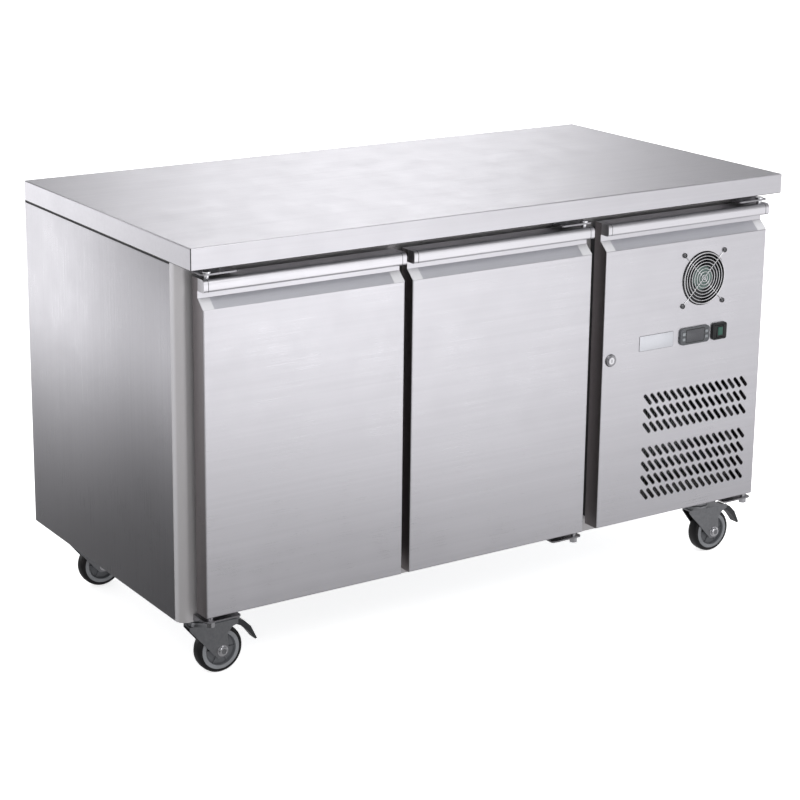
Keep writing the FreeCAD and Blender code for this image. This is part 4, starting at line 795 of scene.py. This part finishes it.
def make_controller():
    """Bordered display window on the bezel, and a mark on each key."""
    low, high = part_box("controller_body")
    centre = (low + high) / 2
    height = high.z - low.z - WINDOW_MARGIN
    border = rounded_plate(centre, WINDOW_WIDTH, height, low.y - 0.00025, low.y + 0.001, 0.003,
                           edge=0.0002)
    glass = rounded_plate(centre, WINDOW_WIDTH - WINDOW_BORDER, height - WINDOW_BORDER,
                          low.y - 0.0004, low.y + 0.001, 0.002, edge=0.0001)
    for name, part, material in (("controller_window_frame", border, dark_shade_and_trim),
                                 ("controller_window", glass, screen_glass)):
        finish_piece(name, part, material, "machine_door", sharp=35)
    for side in ("left", "right"):
        for row in ("upper", "lower"):
            key_low, key_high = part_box("controller_key_%s_%s" % (side, row))
            middle = (key_low + key_high) / 2
            depth = (key_low.y - 0.0001, key_low.y + 0.0002)
            mark = rounded_plate(middle, MARK_LONG, MARK_THIN, *depth, 0.0004)
            if row == "upper":
                merge(mark, rounded_plate(middle, MARK_THIN, MARK_LONG, *depth, 0.0004))
            finish_piece("key_mark_%s_%s" % (side, row), mark, screen_edge, "key_%s_%s" % (side, row))


def make_switch():
    """Raised rim round the rocker's pocket, and a green window on the rocker."""
    low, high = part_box("switch_housing")
    rock_low, rock_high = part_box("switch_rocker")
    centre = (low + high) / 2
    left, right = low.x + SWITCH_MARGIN, high.x - SWITCH_MARGIN
    bottom, top = low.z + SWITCH_MARGIN, high.z - SWITCH_MARGIN
    wall_x = rock_low.x - POCKET_GAP
    wall_z = rock_low.z - POCKET_GAP
    walls = ((left, wall_x, bottom, top), (2 * centre.x - wall_x, right, bottom, top),
             (left, right, bottom, wall_z), (left, right, 2 * centre.z - wall_z, top))
    rim = merge_all([block((x0, low.y - 0.0004, z0), (x1, low.y + 0.0012, z1), 0.0006, 3)
                     for x0, x1, z0, z1 in walls])
    finish_piece("switch_rim", rim, switch_black, "machine_door", sharp=35)
    lens = block((rock_low.x + 0.0035, rock_low.y + 0.0001, centre.z - LENS_HALF),
                 (rock_high.x - 0.0015, rock_low.y + 0.0042, centre.z + LENS_HALF), 0.0007, 3)
    finish_piece("switch_lens", lens, switch_green, "switch_rocker")


def make_lock_details():
    """Dark ring round the flange, and near-black painted shade for a groove round the barrel and for the
    keyway.
    """
    low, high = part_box("lock_body")
    barrel_low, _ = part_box("lock_barrel")
    centre = (low + high) / 2
    ring = lathe_y((centre.x, FACE_Y, centre.z), [
        (0.0098, -0.0002), (0.0129, -0.0002), (0.0128, -0.0012), (0.0112, -0.0026), (0.0098, -0.003),
    ], 48)
    finish_piece("lock_escutcheon", ring, black_nickel, "machine_door")
    # painted shade: a near-black ring for the groove round the barrel
    groove = lathe_y((centre.x, low.y, centre.z), [
        (0.0071, 0.0003), (0.0078, 0.0003), (0.0078, 0.0012), (0.0071, 0.0012),
    ], 48)
    finish_piece("lock_groove_shade", groove, dark_shade_and_trim, "machine_door")
    # painted shade: a near-black block for the keyway
    key_slot = block((centre.x - 0.0008, barrel_low.y - 0.00005, centre.z - 0.0032),
                     (centre.x + 0.0008, barrel_low.y + 0.002, centre.z + 0.0032), 0.0003, 2)
    finish_piece("lock_keyway_shade", key_slot, dark_shade_and_trim, "lock_barrel")


def make_plate():
    """Blank name plate with a dark border round a bright field."""
    low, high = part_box("name_plate")
    centre = (low + high) / 2
    width = high.x - low.x
    height = high.z - low.z
    rim = rounded_plate(centre, width, height, low.y + 0.0002, high.y, 0.0022, edge=0.0002)
    field = rounded_plate(centre, width - PLATE_BORDER, height - PLATE_BORDER, low.y + 0.00005, high.y,
                          0.0014, edge=0.0001)
    for name, part, material in (("plate_rim", rim, bracket_steel), ("plate_field", field, plate_metal)):
        piece = finish_piece(name, part, material, "machine_door", sharp=35)
        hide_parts("name_plate")


make_controller()
make_switch()
make_lock_details()
make_slot_shade_rings()
make_plate()


# ---- stage, light and camera -----------------------------------------------
FLOOR_SIZE = 60.0
FLOOR_LIFT = 0.7              # glow of the paper, so that it stays pale
CARD_SIZE = 20.0
CARD_DROP = 0.002
DOME_RADIUS = 18.0
# each range: start and end of a distance, a wave or a share of the height, then the level at each
FLOOR_LEFT = (-0.4, 3.4, 0.05, 1.9)
FLOOR_FRONT = (0.2, 2.8, 0.4, 1.68)
FLOOR_RIGHT = (-0.1, 0.65, 0.87, 1.34)
FLOOR_FAR_RIGHT = (1.0, 2.3, 1.0, 0.54)
FLOOR_CORNER = (-0.8, 0.0, 0.5, 1.0)
PANEL_SHAPE = (0.3, 1.0, 0.34, 1.7)
DOME_OVERHEAD = (0.45, 0.95, 1.0, 0.55)
SIDE_BLEND = (-0.08, 0.02)    # where the left floor turns into the front floor, from the left side
PANEL_SLANT = 2.14            # lean of the floor's corner shade
PANEL_ANGLE = 0.551           # turn of the dome's soft panels
PANEL_COUNT = 6
KEY_PLACE = (-0.6, -3.2, 3.4)
KEY_TARGET = (0.0, 0.0, 0.4)
KEY_SIZE = (3.0, 2.0)
KEY_POWER = 60.0
CAMERA_PLACE = (-2.3373, -3.4878, 1.6617)
CAMERA_YAW = 0.5824
CAMERA_PITCH = -0.2589
CAMERA_ROLL = 0.0117
CAMERA_LENS = 95.44
CAMERA_SHIFT = -0.1


def stage_mesh(name, bm, material):
    """Turns a bmesh into a part of the stage."""
    mesh = bpy.data.meshes.new(name)
    bm.to_mesh(mesh)
    bm.free()
    mesh.materials.append(material)
    piece = bpy.data.objects.new(name, mesh)
    bpy.context.scene.collection.objects.link(piece)
    return piece


def only_in_reflections(card):
    """A light card that shows only in glossy reflections, as a studio flag or soft panel does."""
    card.visible_camera = False
    card.visible_diffuse = False
    card.visible_transmission = False
    card.visible_volume_scatter = False
    card.visible_shadow = False


def emission(name):
    """A glowing material, its node tree and its glow node."""
    material = bpy.data.materials.new(name)
    material.use_nodes = True
    tree = material.node_tree
    tree.nodes.remove(tree.nodes["Principled BSDF"])
    glow = add_node(tree, "Emission", {"Color": (0.985, 0.978, 1.0, 1.0)})
    tree.links.new(glow.outputs["Emission"], tree.nodes["Material Output"].inputs["Surface"])
    material.cycles.emission_sampling = "NONE"
    return material, tree, glow


def make_floor():
    """Pale paper floor, left out of reflections."""
    bm = bmesh.new()
    bmesh.ops.create_grid(bm, x_segments=1, y_segments=1, size=FLOOR_SIZE)
    material, _, shader = blank("studio_paper")
    shader.inputs["Base Color"].default_value = (0.93, 0.93, 0.93, 1.0)
    shader.inputs["Roughness"].default_value = 0.8
    shader.inputs["Emission Color"].default_value = (1.0, 1.0, 1.0, 1.0)
    shader.inputs["Emission Strength"].default_value = FLOOR_LIFT
    floor = stage_mesh("studio_floor", bm, material)
    floor.visible_glossy = False


def make_floor_card():
    """Reflected floor: shaded close to the counter and on its left, bright farther off."""
    bm = bmesh.new()
    bmesh.ops.create_grid(bm, x_segments=1, y_segments=1, size=CARD_SIZE)
    material, tree, glow = emission("floor_reflection")
    source = add_node(tree, "TexCoord")
    axes = add_node(tree, "SeparateXYZ", None, {"Vector": source.outputs["Object"]})
    squares = []
    for axis, half in (("X", cad_high.x), ("Y", cad_high.y)):
        past = maths(tree, "SUBTRACT", maths(tree, "ABSOLUTE", axes.outputs[axis]), half)
        outside = maths(tree, "MAXIMUM", past, 0.0)
        squares.append(maths(tree, "MULTIPLY", outside, outside))
    away = maths(tree, "SQRT", maths(tree, "ADD", *squares))
    side = smooth_range(tree, axes.outputs["X"], cad_low.x + SIDE_BLEND[0], cad_low.x + SIDE_BLEND[1],
                        0.0, 1.0)
    slanted = maths(tree, "MULTIPLY_ADD", axes.outputs["X"], PANEL_SLANT, -cad_low.x * PANEL_SLANT)
    along_panel = maths(tree, "ADD", axes.outputs["Y"], slanted)
    left_level = maths(tree, "MULTIPLY", smooth_range(tree, away, *FLOOR_LEFT),
                       smooth_range(tree, along_panel, *FLOOR_CORNER))
    front_level = smooth_range(tree, away, *FLOOR_FRONT)
    level = add_node(tree, "Mix", data_type="FLOAT")
    tree.links.new(side, level.inputs["Factor"])
    tree.links.new(left_level, level.inputs[MIX_NUMBER_A])
    tree.links.new(front_level, level.inputs[MIX_NUMBER_B])
    across = maths(tree, "MULTIPLY", smooth_range(tree, axes.outputs["X"], *FLOOR_RIGHT),
                   smooth_range(tree, axes.outputs["X"], *FLOOR_FAR_RIGHT))
    lit = maths(tree, "MAXIMUM", level.outputs[MIX_NUMBER_RESULT], 0.0)
    strength = maths(tree, "MULTIPLY", lit, across)
    tree.links.new(strength, glow.inputs["Strength"])
    card = stage_mesh("floor_reflection", bm, material)
    card.location.z = -CARD_DROP
    only_in_reflections(card)


def make_dome():
    """Reflected studio: soft panels in a ring, the main one behind the counter."""
    bm = bmesh.new()
    bmesh.ops.create_uvsphere(bm, u_segments=64, v_segments=32, radius=DOME_RADIUS)
    material, tree, glow = emission("dome_reflection")
    source = add_node(tree, "TexCoord")
    axes = add_node(tree, "SeparateXYZ", None, {"Vector": source.outputs["Object"]})
    angle = maths(tree, "ARCTAN2", axes.outputs["X"], axes.outputs["Y"])
    turned = maths(tree, "SUBTRACT", angle, PANEL_ANGLE)
    wave = maths(tree, "COSINE", maths(tree, "MULTIPLY", turned, float(PANEL_COUNT)))
    panels = smooth_range(tree, wave, *PANEL_SHAPE)
    height = maths(tree, "DIVIDE", axes.outputs["Z"], DOME_RADIUS)
    overhead = smooth_range(tree, height, *DOME_OVERHEAD)
    tree.links.new(maths(tree, "MULTIPLY", panels, overhead), glow.inputs["Strength"])
    dome = stage_mesh("dome_reflection", bm, material)
    only_in_reflections(dome)


def make_area(name, place, target, size, power):
    """A rectangular soft light aimed at a point."""
    light = bpy.data.lights.new(name, "AREA")
    light.shape = "RECTANGLE"
    light.size = size[0]
    light.size_y = size[1]
    light.energy = power
    lamp = bpy.data.objects.new(name, light)
    lamp.location = place
    lamp.rotation_mode = "QUATERNION"
    lamp.rotation_quaternion = (Vector(target) - Vector(place)).to_track_quat("-Z", "Y")
    bpy.context.scene.collection.objects.link(lamp)


def make_world():
    """Even white surroundings."""
    world = bpy.data.worlds.new("studio")
    bpy.context.scene.world = world
    world.use_nodes = True
    sky = world.node_tree.nodes["Background"]
    sky.inputs["Color"].default_value = (1.0, 1.0, 1.0, 1.0)
    sky.inputs["Strength"].default_value = 1.0


def make_camera():
    """Camera at the photograph's place and angle."""
    camera = bpy.data.cameras.new("camera")
    camera.lens = CAMERA_LENS
    camera.sensor_width = 36.0
    camera.shift_y = CAMERA_SHIFT
    eye = bpy.data.objects.new("camera", camera)
    turn = Matrix.Rotation(-CAMERA_YAW, 4, "Z") @ Matrix.Rotation(math.pi / 2 + CAMERA_PITCH, 4, "X")
    eye.matrix_world = (Matrix.Translation(CAMERA_PLACE) @ turn
                        @ Matrix.Rotation(CAMERA_ROLL, 4, "Z"))
    bpy.context.scene.collection.objects.link(eye)
    bpy.context.scene.camera = eye


make_floor()
make_floor_card()
make_dome()
make_world()
make_area("key", KEY_PLACE, KEY_TARGET, KEY_SIZE, KEY_POWER)
make_camera()
bpy.context.scene.view_settings.view_transform = "Standard"
